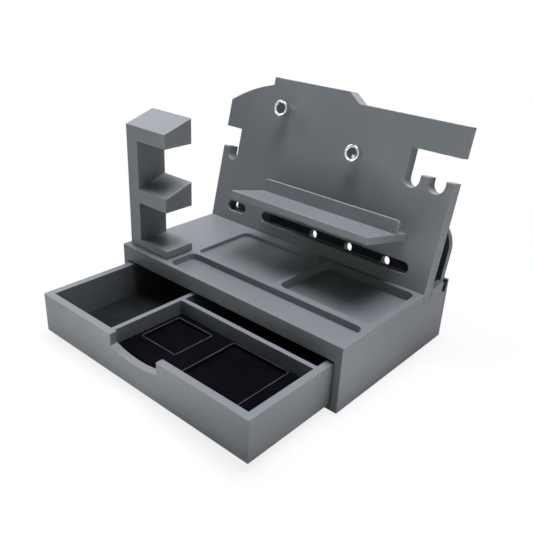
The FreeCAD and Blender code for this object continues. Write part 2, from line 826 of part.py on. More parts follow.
def velvet_insert():
    """The padded insert of the front compartment, with two shallow square wells."""
    left = "(%s + soft_clearance)" % DIVIDER_RIGHT
    front = "(%s + soft_clearance)" % FRONT_INSIDE
    stock = block("insert_block", left, front, FLOOR_TOP,
                  "%s - soft_clearance - %s" % (RIGHT_INSIDE, left),
                  "%s - soft_clearance - %s" % (CROSS_FRONT, front),
                  "%s - %s" % (INSERT_TOP, FLOOR_TOP))
    wells = []
    for name, x, y, side in well_places():
        wells.append(block(name + "_well", x, y, "%s - well_depth" % INSERT_TOP, side, side,
                           "insert_drop"))
    return carved("velvet_insert", stock, wells)


def well_trims():
    """Thin square frames that line the wells and stand a little proud."""
    frames = []
    height = "well_depth + trim_proud"
    for name, x, y, side in well_places():
        bottom = "%s - well_depth" % INSERT_TOP
        outer = block(name + "_trim_stock", x, y, bottom, side, side, height)
        inner = block(name + "_trim_space", "%s + trim_width" % x, "%s + trim_width" % y,
                      "%s - trim_width" % bottom, "%s - 2 * trim_width" % side,
                      "%s - 2 * trim_width" % side, "insert_drop")
        frames.append(carved(name + "_trim", outer, [inner]))
    return joined("well_trims", frames)


# ---------------------------------------------------------------------------------------------
# Display panel, shelf, knobs and rear support


def stadium(left, right, low, width):
    """Give the four corners of a slot with half-round ends, drawn to the left."""
    end = "(%s / 2)" % width
    high = "(%s + %s)" % (low, width)
    return [
        ("(%s + %s)" % (left, end), low),
        ("(%s - %s)" % (right, end), low, end, 1),
        ("(%s - %s)" % (right, end), high),
        ("(%s + %s)" % (left, end), high, end, 1),
    ]


def panel_outline():
    """Give the corners of the panel's outline, from its bottom left corner, drawn to the left."""
    foot = "(0 - panel_root)"
    prong_2 = "(box_width - outer_prong_width)"
    notch_2 = "(%s - outer_notch_width)" % prong_2
    prong_1 = "(%s - inner_prong_width)" % notch_2
    notch_1 = "(%s - inner_notch_width)" % prong_1
    left_body = "(left_prong_width + left_notch_width)"
    outer_floor = "(right_notch_floor + outer_notch_width / 2)"
    inner_floor = "(right_notch_floor + inner_notch_width / 2)"
    left_floor = "(left_notch_floor + left_notch_width / 2)"
    crown_right = "(box_width - crown_from_right)"
    return [
        ("0", foot),
        ("box_width", foot),
        ("box_width", "right_prong_top"),
        (prong_2, "right_prong_top"),
        (prong_2, outer_floor, "(outer_notch_width / 2)", -1),
        (notch_2, outer_floor),
        (notch_2, "right_prong_top"),
        (prong_1, "right_prong_top"),
        (prong_1, inner_floor, "(inner_notch_width / 2)", -1),
        (notch_1, inner_floor),
        (notch_1, "right_arm_under"),
        ("box_width", "right_arm_under"),
        ("box_width", "shoulder_top"),
        ("(%s + crown_cut)" % crown_right, "shoulder_top"),
        (crown_right, "crown_top"),
        ("ledge_reach", "crown_top"),
        ("ledge_reach", "ledge_high", "ledge_radius", 1),
        ("0", "ledge_low"),
        ("0", "left_arm_under"),
        (left_body, "left_arm_under"),
        (left_body, left_floor, "(left_notch_width / 2)", -1),
        ("left_prong_width", left_floor),
        ("left_prong_width", "left_prong_top"),
        ("0", "left_prong_top"),
    ]


def display_panel():
    """The leaning board with hooks, arms, a headphone ledge and cable slots."""
    long_slot = stadium("slot_left", "(box_width - slot_from_right)", "slot_low", "slot_width")
    short_slot = stadium("small_slot_left", "small_slot_right", "slot_low", "slot_width")
    body = padded("panel_board", "XZ_Plane", [panel_outline(), long_slot, short_slot],
                  "panel_thickness", True)
    lean(body, "0", "0", "0")
    thickness = number("panel_thickness")
    wall_x = number("ledge_reach")
    wall_foot = number("ledge_high")

    def outline_edges(middle):
        """All edges above the tray, but the short wall at the head of the ledge stays sharp."""
        on_face = middle.y < 0.01 or middle.y > thickness - 0.01
        on_wall = abs(middle.x - wall_x) < 0.01 and middle.z > wall_foot
        return on_face and middle.z > 0.01 and not on_wall

    cutters = panel_screw_holes("panel")
    for index, (x, rise) in enumerate(KNOB_SPOTS):
        cutters += back_screw_holes("panel_knob_%d" % index, x, rise, "knob_screw_length")
    for index, x in enumerate(SHELF_SCREW_SPOTS):
        cutters += back_screw_holes("panel_shelf_%d" % index, x, SHELF_MIDDLE,
                                    "shelf_screw_length")
    bored = carved("panel_bored", body, cutters)
    return soft_edges("display_panel", bored, outline_edges, body)


def back_screw_holes(tag, x, rise, length):
    """Cutters for one screw that is driven through the panel from behind."""
    seat = "(panel_thickness - screw_head_height)"
    return [
        leaning_hole(tag, x, "%s - %s" % (seat, length), rise, "screw_radius", length),
        leaning_hole(tag + "_head", x, seat, rise, "screw_head_radius", "panel_thickness"),
    ]


def back_screw(tag, x, rise, length):
    """One screw that is driven through the panel from behind."""
    seat = "(panel_thickness - screw_head_height)"
    shank = leaning_rod(tag + "_shank", x, "%s - %s" % (seat, length), rise, "screw_radius",
                        length)
    head = leaning_rod(tag + "_head", x, seat, rise, "screw_head_radius", "screw_head_height")
    return screw_of(tag, shank, head)


def screw_of(tag, shank, head):
    """Join a shank and a head into one screw."""
    item = doc.addObject("Part::Fuse", tag)
    item.Base = shank
    item.Tool = head
    return item


def panel_screws():
    """Screws from under the tray into the panel's foot."""
    screws = []
    seat = "(0 - panel_root - panel_screw_skin)"
    for index, x in enumerate(PANEL_SCREW_SPOTS):
        tag = "panel_screw_%d" % index
        shank = leaning_rod(tag + "_shank", x, "panel_thickness / 2", seat, "screw_radius",
                            "panel_screw_length", through=False)
        head = leaning_rod(tag + "_head", x, "panel_thickness / 2",
                           seat + " - screw_head_height", "screw_head_radius",
                           "screw_head_height", through=False)
        screws.append(screw_of(tag, shank, head))
    return joined("panel_screws", screws)


def shelf_screws():
    """Screws through the panel into the shelf's back edge."""
    return joined("shelf_screws", [back_screw("shelf_screw_%d" % index, x, SHELF_MIDDLE,
                                              "shelf_screw_length")
                                   for index, x in enumerate(SHELF_SCREW_SPOTS)])


def knob_screws():
    """Screws through the panel into the knobs."""
    return joined("knob_screws", [back_screw("knob_screw_%d" % index, x, rise,
                                             "knob_screw_length")
                                  for index, (x, rise) in enumerate(KNOB_SPOTS)])


def shelf():
    """The phone shelf, square to the panel."""
    board = leaning_block("shelf_board", "shelf_left", "0 - shelf_depth",
                          "shelf_top - shelf_thickness",
                          "box_width - shelf_from_right - shelf_left", "shelf_depth",
                          "shelf_thickness")
    depth = number("shelf_depth")

    def clear_of_panel(middle):
        return middle.y < depth - 0.01

    shaped = soft_edges("shelf_rounded", board, clear_of_panel)
    cutters = []
    for index, x in enumerate(SHELF_SCREW_SPOTS):
        cutters += back_screw_holes("shelf_hole_%d" % index, x, SHELF_MIDDLE,
                                    "shelf_screw_length")
    return carved("shelf", shaped, cutters + lip_pin_holes("shelf"))


def lip_pin_holes(name):
    """Cutters for the pins between shelf and lip."""
    return [leaning_hole("%s_lip_pin_%d" % (name, index), x, LIP_MIDDLE,
                         "shelf_top - lip_pin_length / 2", "lip_pin_radius", "lip_pin_length",
                         False)
            for index, x in enumerate(LIP_PIN_SPOTS)]


def lip_pins():
    """Small pins between shelf and lip."""
    return joined("lip_pins", [
        leaning_rod("lip_pin_%d" % index, x, LIP_MIDDLE, "shelf_top - lip_pin_length / 2",
                    "lip_pin_radius", "lip_pin_length", through=False)
        for index, x in enumerate(LIP_PIN_SPOTS)])


def shelf_lip():
    """The thin upright strip that keeps a phone on the shelf."""
    right = "(box_width - shelf_from_right)"
    high = "(shelf_top + lip_height)"
    loop = [
        ("shelf_left", "shelf_top"),
        (right, "shelf_top"),
        (right, "(%s - lip_corner)" % high, "lip_corner", 1),
        ("(%s - lip_corner)" % right, high),
        ("(shelf_left + lip_corner)", high, "lip_corner", 1),
        ("shelf_left", "(%s - lip_corner)" % high),
    ]
    body = padded("lip_board", "XZ_Plane", [loop], "lip_thickness", True)
    lean(body, "0", "0 - lip_offset", "0")
    foot = number("shelf_top")
    thickness = number("lip_thickness")

    def outline_edges(middle):
        on_face = middle.y < 0.01 or middle.y > thickness - 0.01
        return on_face and middle.z > foot + 0.01

    shaped = soft_edges("shelf_lip_rounded", body, outline_edges)
    return carved("shelf_lip", shaped, lip_pin_holes("lip"))


def rear_support():
    """The low board behind the panel, with round upper corners and cable holes."""
    left = "support_recess"
    right = "(box_width - support_recess)"
    shoulder = "(support_height - support_corner)"
    loop = [
        (left, "(0 - support_root)"),
        (right, "(0 - support_root)"),
        (right, shoulder, "support_corner", 1),
        ("(%s - support_corner)" % right, "support_height"),
        ("(%s + support_corner)" % left, "support_height", "support_corner", 1),
        (left, shoulder),
    ]
    body = padded("support_board", "XZ_Plane", [loop], "support_thickness", True)
    lean(body, "0", "0", "0", SUPPORT_Y)
    thickness = number("support_thickness")

    def outline_edges(middle):
        on_face = middle.y < 0.01 or middle.y > thickness - 0.01
        return on_face and middle.z > 0.01

    shaped = soft_edges("rear_support_rounded", body, outline_edges)
    holes = []
    for index in range(3):
        x = "box_width - cable_hole_from_right - %d * cable_hole_pitch" % index
        holes.append(leaning_rod("cable_hole_%d" % index, x, "0 - support_thickness", "0",
                                 "cable_hole_radius", "3 * support_thickness", SUPPORT_Y))
    return carved("rear_support", shaped, holes)


def knob(name, x, rise):
    """A round knob: a flat-faced head on a neck, turned about its axis."""
    back = "(knob_standoff - knob_head)"
    body = doc.addObject("PartDesign::Body", name + "_turning")
    sketch = body.newObject("Sketcher::SketchObject", name + "_profile")
    sketch.AttachmentSupport = [(origin_plane(body, "XZ_Plane"), "")]
    sketch.MapMode = "FlatFace"
    rim = "(knob_radius - knob_face_dish)"
    add_loop(sketch, [
        ("0", "0"),
        ("knob_neck_radius", "0"),
        ("knob_neck_radius", back),
        (rim, back, "knob_face_dish", 1),
        ("knob_radius", "(%s + knob_face_dish)" % back),
        ("knob_radius", "(knob_standoff - knob_face_dish)", "knob_face_dish", 1),
        (rim, "knob_standoff"),
        ("0", "(knob_standoff - knob_face_dish)"),
    ])
    turning = body.newObject("PartDesign::Revolution", name + "_revolution")
    turning.Profile = sketch
    turning.ReferenceAxis = (sketch, ["V_Axis"])
    turning.Angle = 360
    body.Tip = turning
    lean(body, x, "0", rise)
    bind(body, ".Placement.Rotation.Angle", "panel_lean - 90")
    bore = back_screw_holes(name + "_bore", x, rise, "knob_screw_length")
    return carved(name, body, bore)


# ---------------------------------------------------------------------------------------------
# Watch stand


def stand_dowel_places():
    """Give x, y, z and axis of each dowel: post on foot, and each arm on the post."""
    places = []
    for y in STAND_DOWEL_ROWS:
        places.append(("stand_x + post_width / 2", y, "%s - %s" % (FOOT_TOP, DOWEL_BITE), "z"))
        for drop in ("0", "lower_arm_drop"):
            z = "%s - arm_height / 2 - %s" % (POST_TOP, drop)
            places.append(("%s - dowel_length / 2" % POST_RIGHT, y, z, "x"))
    return places


def stand_dowels():
    """Hidden dowels of the watch stand."""
    return joined("stand_dowels", [
        rod("stand_dowel_%d" % index, x, y, z, "dowel_radius", "dowel_length", axis)
        for index, (x, y, z, axis) in enumerate(stand_dowel_places())])


def stand_dowel_holes(name):
    """Cutters for the stand's dowels."""
    return [hole("%s_dowel_hole_%d" % (name, index), x, y, z, "dowel_radius", "dowel_length",
                 axis)
            for index, (x, y, z, axis) in enumerate(stand_dowel_places())]


def stand_screws():
    """Screws from under the tray into the stand's foot."""
    screws = []
    seat = "(%s + screw_head_height)" % TRAY_UNDER
    for index, x in enumerate(STAND_SCREW_SPOTS):
        tag = "stand_screw_%d" % index
        shank = rod(tag + "_shank", x, STAND_MIDDLE_Y, seat, "screw_radius",
                    "%s - stand_screw_skin - %s" % (FOOT_TOP, seat))
        head = rod(tag + "_head", x, STAND_MIDDLE_Y, TRAY_UNDER, "screw_head_radius",
                   "screw_head_height")
        screws.append(screw_of(tag, shank, head))
    return joined("stand_screws", screws)


def stand_pad():
    """Thin felt sheet under the foot of the watch stand."""
    inset = "stand_pad_inset"
    sheet_stock = block("stand_pad_sheet", "stand_x + %s" % inset, "stand_y + %s" % inset,
                        "box_height", "stand_width - 2 * %s" % inset,
                        "stand_depth - 2 * %s" % inset, "stand_pad")
    return carved("stand_pad", sheet_stock, stand_screw_holes("pad"))


def stand_foot():
    """The foot plate of the watch stand."""
    board = block("foot_board", "stand_x", "stand_y", STAND_BASE, "stand_width", "stand_depth",
                  "foot_height")
    height = number("foot_height")
    width = number("stand_width")

    def clear_of_post(middle):
        """The upper edges run under the post, all but the one at the free end."""
        return middle.z < height - 0.01 or middle.x > width - 0.01

    shaped = soft_edges("stand_foot_rounded", board, clear_of_post)
    return carved("stand_foot", shaped, stand_screw_holes("foot") + stand_dowel_holes("foot"))


def sloped_board(name, left, low, width, front_height, wanted):
    """A board whose top rises to the back, drawn from its side and padded across."""
    loop = [
        ("0", "0"),
        ("stand_depth", "0"),
        ("stand_depth", "(%s + top_rise)" % front_height),
        ("0", front_height),
    ]
    body = padded(name + "_board", "YZ_Plane", [loop], width)
    place(body, left, "stand_y", low)
    return soft_edges(name + "_rounded", body, wanted)


def stand_post():
    """The upright post, with its top sloping up to the back."""
    width = number("post_width")
    height = number("post_height")

    def visible_edges(middle):
        outer = middle.z > 0.01 and middle.x < 0.01
        top = middle.z > height - 0.01 and abs(middle.x - width / 2) < 0.01
        return outer or top

    shaped = sloped_board("stand_post", "stand_x", FOOT_TOP, "post_width", "post_height",
                          visible_edges)
    return carved("stand_post", shaped, stand_dowel_holes("post"))


def watch_arm(name, drop):
    """One arm of the watch stand, level underneath and sloping on top."""

    def clear_of_post(middle):
        return middle.x > 0.01

    low = "%s - arm_height - %s" % (POST_TOP, drop)
    shaped = sloped_board(name, POST_RIGHT, low, ARM_LENGTH, "arm_height", clear_of_post)
    return carved(name, shaped, stand_dowel_holes(name))


# ---------------------------------------------------------------------------------------------
# The whole object, one sub-part to a file

SUB_PARTS = [
    side_board("left_side", "0", "0"),
    side_board("right_side", INNER_RIGHT, "side_thickness"),
    base_floor(),
    back_wall(),
    tray_top(),
    side_nails(),
    carcass_pins(),
    foot_pads(),
    drawer_runners(),
    drawer_bumpers(),
    drawer_stop(),
    drawer_front(),
    drawer_side("drawer_left_side", DRAWER_LEFT,
                [floor_slab("left_floor_groove", "fit_clearance")]),
    drawer_side("drawer_right_side", RIGHT_INSIDE,
                [floor_slab("right_floor_groove", "fit_clearance"),
                 cross_slab("right_cross_groove", "box_height")]),
    drawer_back(),
    floor_slab("drawer_floor", "0"),
    long_divider(),
    cross_slab("cross_divider", DRAWER_TOP),
    drawer_pins(),
    drawer_catches(),
    drawer_lining("left_lining", LEFT_INSIDE, "divider_x", FRONT_INSIDE,
                  BACK_INSIDE),
    drawer_lining("rear_lining", DIVIDER_RIGHT, RIGHT_INSIDE, CROSS_BACK, BACK_INSIDE),
    velvet_insert(),
    well_trims(),
    display_panel(),
    panel_screws(),
    shelf(),
    shelf_screws(),
    shelf_lip(),
    lip_pins(),
    knob("upper_knob", KNOB_SPOTS[0][0], KNOB_SPOTS[0][1]),
    knob("lower_knob", KNOB_SPOTS[1][0], KNOB_SPOTS[1][1]),
    knob_screws(),
    rear_support(),
    stand_pad(),
    stand_foot(),
    stand_post(),
    watch_arm("upper_watch_arm", "0"),
    watch_arm("lower_watch_arm", "lower_arm_drop"),
    stand_dowels(),
    stand_screws(),
]

doc.recompute()
broken = [item.Name for item in doc.Objects if "Invalid" in item.State or "Error" in item.State]
if broken:
    raise RuntimeError("objects failed to build: " + ", ".join(broken))
for item in SUB_PARTS:
    if item.Shape.isNull() or not item.Shape.isValid() or not item.Shape.Solids:
        raise RuntimeError("no valid solid in " + item.Label)

os.makedirs("parts", exist_ok=True)
for item in SUB_PARTS:
    item.Shape.exportStep("parts/%s.step" % item.Label)
    print("%-20s solids %2d  volume %10.1f" % (item.Label, len(item.Shape.Solids),
                                              item.Shape.Volume))
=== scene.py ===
"""Looks of a desk valet box: a tray over a drawer, a leaning display panel and a watch stand.

Every sub-assembly is a class that dresses the frame's own boards and builds the soft and fine
pieces round them. Lengths are in metres, in the frame's own axes: x to the right, y to the back,
z up.
"""

import logging
import math
from collections.abc import Callable, Iterable, Sequence
from dataclasses import dataclass, field
from enum import Enum

import bmesh
import bpy
from mathutils import Matrix, Vector, noise


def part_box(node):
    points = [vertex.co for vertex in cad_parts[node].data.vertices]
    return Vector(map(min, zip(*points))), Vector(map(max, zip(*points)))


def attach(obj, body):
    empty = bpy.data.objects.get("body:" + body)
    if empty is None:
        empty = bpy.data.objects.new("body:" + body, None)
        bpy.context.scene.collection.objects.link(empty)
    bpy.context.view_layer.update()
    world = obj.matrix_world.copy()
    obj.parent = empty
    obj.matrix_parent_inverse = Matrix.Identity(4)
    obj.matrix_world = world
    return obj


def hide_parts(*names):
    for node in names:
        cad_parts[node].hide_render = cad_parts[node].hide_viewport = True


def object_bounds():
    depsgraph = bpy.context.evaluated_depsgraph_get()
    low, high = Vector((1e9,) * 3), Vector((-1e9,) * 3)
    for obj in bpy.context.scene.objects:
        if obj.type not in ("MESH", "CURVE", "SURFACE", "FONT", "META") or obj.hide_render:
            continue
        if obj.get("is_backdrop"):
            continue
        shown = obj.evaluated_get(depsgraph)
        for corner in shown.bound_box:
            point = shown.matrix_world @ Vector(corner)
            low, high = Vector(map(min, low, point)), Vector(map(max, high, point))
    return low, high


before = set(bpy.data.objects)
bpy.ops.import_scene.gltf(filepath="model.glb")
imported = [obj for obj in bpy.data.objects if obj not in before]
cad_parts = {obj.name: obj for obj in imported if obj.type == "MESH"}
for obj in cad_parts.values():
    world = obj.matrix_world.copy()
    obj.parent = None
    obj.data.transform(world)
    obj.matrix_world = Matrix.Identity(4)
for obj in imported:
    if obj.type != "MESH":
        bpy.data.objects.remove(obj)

MM = 0.001
ON_AXIS = 1e-7  # a radius below this is a point on the axis
ROUND_SIDES = 48
SHARP_ANGLE = math.radians(40.0)
WELD_DIGITS = 6  # points that agree in metres to this many digits are one
SORT_DIGITS = 4
MIX_SHARE, MIX_FIRST, MIX_SECOND, MIX_RESULT = 0, 6, 7, 2  # a Mix node's sockets for colours
HALF = 0.5
WHITE = (1.0, 1.0, 1.0)
PANEL_LEAN = math.radians(13.0)

Colour = tuple[float, float, float]
Spot = tuple[float, float, float]
Span = tuple[float, float]  # the start and the end of a smooth step
Grain = tuple[float, float, float]  # blotches in a metre, finer octaves, and their strength
Relief = tuple[float, float]  # how much of a bump's tilt shows, and its real height
Stretch = tuple[float, float, float]  # how much finer a grain is along each axis
log = logging.getLogger("valet_box")


# Shader drawing


class Wire:
    """One output of a shader node. Sums on it add Math nodes, as if it were a number."""

    def __init__(self, sheet: "ShaderSheet", socket: bpy.types.NodeSocket) -> None:
        """Hold a node's output and the sheet that it is drawn on."""
        self.sheet = sheet
        self.socket = socket

    def _sum(self, operation: str, *terms: "Wire | float") -> "Wire":
        """Add one Math node, with the terms in its sockets in order."""
        return self.sheet.wire("ShaderNodeMath", {"operation": operation}, dict(enumerate(terms)))

    def __add__(self, other: "Wire | float") -> "Wire":
        """Add a value."""
        return self._sum("ADD", self, other)

    __radd__ = __add__

    def __mul__(self, other: "Wire | float") -> "Wire":
        """Multiply by a value."""
        return self._sum("MULTIPLY", self, other)

    __rmul__ = __mul__

    def __sub__(self, other: "Wire | float") -> "Wire":
        """Take a value off."""
        return self._sum("SUBTRACT", self, other)

    def __rsub__(self, other: "Wire | float") -> "Wire":
        """Take this off a value."""
        return self._sum("SUBTRACT", other, self)

    def __truediv__(self, other: "Wire | float") -> "Wire":
        """Divide by a value."""
        return self._sum("DIVIDE", self, other)

    def __rtruediv__(self, other: "Wire | float") -> "Wire":
        """Divide a value by this."""
        return self._sum("DIVIDE", other, self)

    def __pow__(self, other: "Wire | float") -> "Wire":
        """Raise to a power."""
        return self._sum("POWER", self, other)

    def __rpow__(self, other: "Wire | float") -> "Wire":
        """Raise a value to this power."""
        return self._sum("POWER", other, self)

    def __abs__(self) -> "Wire":
        """Drop the sign."""
        return self._sum("ABSOLUTE", self)

    def at_most(self, other: "Wire | float") -> "Wire":
        """Give the smaller of the two values."""
        return self._sum("MINIMUM", self, other)

    def at_least(self, other: "Wire | float") -> "Wire":
        """Give the larger of the two values."""
        return self._sum("MAXIMUM", self, other)

    def rise(self, low: float, high: float) -> "Wire":
        """Give a smooth step, from 0 where the value is low to 1 where it is high."""
        settings = {"interpolation_type": "SMOOTHSTEP"}
        return self.sheet.wire("ShaderNodeMapRange", settings,
                               {"Value": self, "From Min": low, "From Max": high})


class ShaderSheet:
    """The node tree of one material or world, with a method for each kind of node that it takes."""

    def __init__(self, tree: bpy.types.NodeTree) -> None:
        """Clear the tree and draw on it."""
        tree.nodes.clear()
        self.tree = tree

    def node(self, kind: str, settings: dict[str, object] | None = None,
             inputs: dict[int | str, object] | None = None) -> bpy.types.Node:
        """Add any node.

        Args:
            kind: The node's type.
            settings: Its own settings, which are set first.
            inputs: The values or wires of its sockets, by number or by name.

        Returns:
            The node.
        """
        node = self.tree.nodes.new(kind)
        for name, value in (settings or {}).items():
            setattr(node, name, value)
        for key, value in (inputs or {}).items():
            if isinstance(value, Wire):
                self.tree.links.new(value.socket, node.inputs[key])
            else:
                node.inputs[key].default_value = value
        return node

    def wire(self, kind: str, settings: dict[str, object] | None = None,
             inputs: dict[int | str, object] | None = None, output: int | str = 0) -> Wire:
        """Add any node, as node() does, and give the output with a number or name."""
        return Wire(self, self.node(kind, settings, inputs).outputs[output])

    def place(self) -> Wire:
        """Give the point on the piece, in the frame at rest."""
        return self.wire("ShaderNodeTexCoord", output="Object")

    def split(self, vector: Wire) -> tuple[Wire, ...]:
        """Take a vector apart into x, y and z."""
        node = self.node("ShaderNodeSeparateXYZ", None, {"Vector": vector})
        return tuple(Wire(self, output) for output in node.outputs)

    def facing(self, direction: Sequence[float]) -> Wire:
        """Give 1 where the surface faces a direction or its opposite, and 0 where it is edge on."""
        return abs(self.towards(direction))

    def towards(self, direction: Sequence[float]) -> Wire:
        """Measure how squarely the surface faces a direction, from -1 to 1."""
        return self.along(self.wire("ShaderNodeTexCoord", output="Normal"), direction)

    def along(self, vector: Wire, direction: Sequence[float]) -> Wire:
        """Measure how far a vector goes in a direction."""
        return self.wire("ShaderNodeVectorMath", {"operation": "DOT_PRODUCT"},
                         {0: vector, 1: tuple(direction)}, "Value")

    def stretched(self, vector: Wire, times: Sequence[float]) -> Wire:
        """Scale a vector by a different number along each axis."""
        return self.wire("ShaderNodeVectorMath", {"operation": "MULTIPLY"},
                         {0: vector, 1: tuple(times)})

    def grain(self, place: Wire, scale: float, detail: float, rough: float) -> Wire:
        """Give a noise from about 0 to 1, with so many blotches in a metre and finer octaves."""
        return self.wire("ShaderNodeTexNoise", {"noise_dimensions": "3D"},
                         {"Vector": place, "Scale": scale, "Detail": detail, "Roughness": rough})

    def blend(self, share: Wire | float, first: "Wire | Colour", second: "Wire | Colour") -> Wire:
        """Mix two colours, or wires that carry them, by the share of the second."""
        full = [c if isinstance(c, Wire) else (*c, 1.0) for c in (first, second)]
        return self.wire("ShaderNodeMix", {"data_type": "RGBA"},
                         {MIX_SHARE: share, MIX_FIRST: full[0], MIX_SECOND: full[1]}, MIX_RESULT)

    def bump(self, height: Wire, strength: float, depth: float, under: Wire | None = None) -> Wire:
        """Tilt the surface's normal by a height.

        Args:
            height: The height, from 0 to 1.
            strength: How much of the tilt shows.
            depth: The height's real size.
            under: A bump that this one lies on.

        Returns:
            The normal.
        """
        inputs = {"Height": height, "Strength": strength, "Distance": depth}
        if under is not None:
            inputs["Normal"] = under
        return self.wire("ShaderNodeBump", None, inputs)

    def surface(self, inputs: dict[str, object]) -> None:
        """End a material with a Principled shader that takes these values and wires."""
        shader = self.wire("ShaderNodeBsdfPrincipled", None, inputs)
        self.node("ShaderNodeOutputMaterial", None, {"Surface": shader})


def new_sheet(name: str) -> tuple[bpy.types.Material, ShaderSheet]:
    """Start a material.

    Args:
        name: The material's name.

    Returns:
        The material and its sheet.
    """
    material = bpy.data.materials.new(name)
    material.use_nodes = True
    return material, ShaderSheet(material.node_tree)


# Finishes


class Through(Enum):
    """The direction through a board's thickness, which tells its broad faces from its cut edges."""

    ACROSS = (1.0, 0.0, 0.0)
    DEPTH = (0.0, -1.0, 0.0)
    UP = (0.0, 0.0, 1.0)
    PANEL = (0.0, -math.cos(PANEL_LEAN), math.sin(PANEL_LEAN))
    SHELF = (0.0, math.sin(PANEL_LEAN), math.cos(PANEL_LEAN))


@dataclass(frozen=True)
class Mark:
    """A dark joint line or pinhole on the right end of a board, from a point (y, z) to another."""

    start: tuple[float, float]
    end: tuple[float, float]
    half_width: float
    strength: float
    beyond_x: float = 174.0 * MM
    end_step: float = 0.1 * MM
    shortest: float = 0.01 * MM
    softness: float = 0.4

    def at(self, x: Wire, y: Wire, z: Wire) -> Wire:
        """Draw the mark.

        Args:
            x: A point's place across the object.
            y: Its place along the object.
            z: Its height.

        Returns:
            The mark's strength in it, and 0 elsewhere.
        """
        run_y, run_z = self.end[0] - self.start[0], self.end[1] - self.start[1]
        off_y, off_z = y - self.start[0], z - self.start[1]
        squared = max(run_y ** 2 + run_z ** 2, self.shortest ** 2)
        along = ((off_y * run_y + off_z * run_z) / squared).at_least(0.0).at_most(1.0)
        off_y, off_z = off_y - along * run_y, off_z - along * run_z
        off = (off_y * off_y + off_z * off_z) ** HALF
        edge = self.half_width * self.softness
        line = 1.0 - off.rise(self.half_width - edge, self.half_width + edge)
        return line * x.rise(self.beyond_x - self.end_step, self.beyond_x) * self.strength


# Where the panel's foot enters the tray: the joint line, a dash, the line behind it and a pinhole.
FOOT_MARKS = (
    Mark((0.0499, 0.0795), (0.0516, 0.0690), 0.45 * MM, 0.40),
    Mark((0.0508, 0.0683), (0.0538, 0.0689), 0.65 * MM, 0.95),
    Mark((0.0657, 0.0730), (0.0646, 0.0666), 0.40 * MM, 0.50),
    Mark((0.0670, 0.0751), (0.0670, 0.0751), 1.35 * MM, 0.95),
)


@dataclass(frozen=True)
class Finish:
    """A finish, which draws itself on a material of its own name."""

    name: str

    def draw(self, sheet: ShaderSheet, place: Wire) -> None:
        """Draw the finish on a sheet, from the point on the piece."""
        raise NotImplementedError

    def material(self) -> bpy.types.Material:
        """Make the finish's material.

        Returns:
            The material.
        """
        material, sheet = new_sheet(self.name)
        self.draw(sheet, sheet.place())
        return material


@dataclass(frozen=True)
class SatinPaint(Finish):
    """Satin lacquer sprayed on fibreboard: smooth faces, drier cut edges, arrises lightened partly
    by thin paint and partly as a painted highlight, and painted shade on the faces that look into a
    gap, where asked.
    """

    through: Through
    marks: tuple[Mark, ...] = ()
    painted_shade_on: Through | None = None
    painted_shade_from_y: Span = (80.0 * MM, 81.0 * MM)
    tone: Colour = (0.190, 0.217, 0.216)
    shade: Colour = (0.170, 0.194, 0.194)
    cut_edge_and_painted_shade_tone: Colour = (0.201, 0.228, 0.229)
    arris_wear_dust_and_painted_light_tone: Colour = (0.275, 0.302, 0.311)
    mark_tone: Colour = (0.020, 0.021, 0.024)
    painted_shade_tone: Colour = (0.022, 0.023, 0.028)
    refraction: float = 1.5
    roughness: float = 0.43
    edge_roughness: float = 0.12
    cloud_roughness: float = 0.10
    fibre_roughness: float = 0.08
    arris_wear_and_painted_light_share: float = 0.55
    dust_share: float = 0.16
    broad: Span = (0.86, 0.985)
    cut: Span = (0.15, 0.45)
    cloud_span: Span = (0.3, 0.7)
    dust_span: Span = (0.66, 0.78)
    painted_shade_facing: Span = (0.7, 0.95)
    cloud: Grain = (9.0, 3.0, 0.5)
    peel: Grain = (900.0, 1.0, 0.5)
    fibre: Grain = (1500.0, 3.0, 0.7)
    dust: Grain = (340.0, 4.0, 0.65)
    peel_relief: Relief = (0.16, 0.06 * MM)
    fibre_relief: Relief = (0.30, 0.10 * MM)
    mark_relief: Relief = (0.6, 0.4 * MM)

    def draw(self, sheet: ShaderSheet, place: Wire) -> None:
        """Draw the finish.

        Args:
            sheet: The sheet to draw on.
            place: The point on the piece.
        """
        square = sheet.facing(self.through.value)
        cut = 1.0 - square.rise(*self.cut)
        arris = (1.0 - square.rise(*self.broad) - cut).at_least(0.0)
        cloud = sheet.grain(place, *self.cloud)
        fibre = sheet.grain(place, *self.fibre)
        dust = sheet.grain(place, *self.dust).rise(*self.dust_span)
        tone = sheet.blend(cloud.rise(*self.cloud_span), self.shade, self.tone)
        # Cut edges take their own tone, from drier paint on fibreboard. On the rear support it is
        # set darker as painted shade.
        tone = sheet.blend(cut * (HALF + fibre * HALF), tone, self.cut_edge_and_painted_shade_tone)
        # Rounded arrises lighten: partly thinner paint, partly a painted highlight along the edges.
        # Dust specks below take the same tone.
        tone = sheet.blend(arris * self.arris_wear_and_painted_light_share, tone, self.arris_wear_dust_and_painted_light_tone)
        tone = sheet.blend(dust * self.dust_share, tone, self.arris_wear_dust_and_painted_light_tone)
        rough = self.roughness + cut * self.edge_roughness
        rough = rough + (cloud - HALF) * self.cloud_roughness
        rough = rough + (fibre - HALF) * self.fibre_roughness
        skin = sheet.bump(sheet.grain(place, *self.peel), *self.peel_relief)
        skin = sheet.bump(fibre * cut, *self.fibre_relief, skin)
        # Painted shade: faces that look along the given direction, behind the given depth, are
        # darkened to near black because the gap in front of them lies in shade.
        if self.painted_shade_on:
            hidden = sheet.towards(self.painted_shade_on.value).rise(*self.painted_shade_facing)
            behind = sheet.split(place)[1].rise(*self.painted_shade_from_y)
            tone = sheet.blend(hidden * behind, tone, self.painted_shade_tone)
        if self.marks:
            spot = sheet.split(place)
            dark = self.marks[0].at(*spot)
            for mark in self.marks[1:]:
                dark = dark.at_least(mark.at(*spot))
            tone = sheet.blend(dark, tone, self.mark_tone)
            skin = sheet.bump(1.0 - dark, *self.mark_relief, skin)
        sheet.surface({"Base Color": tone, "Roughness": rough, "Normal": skin,
                       "IOR": self.refraction})


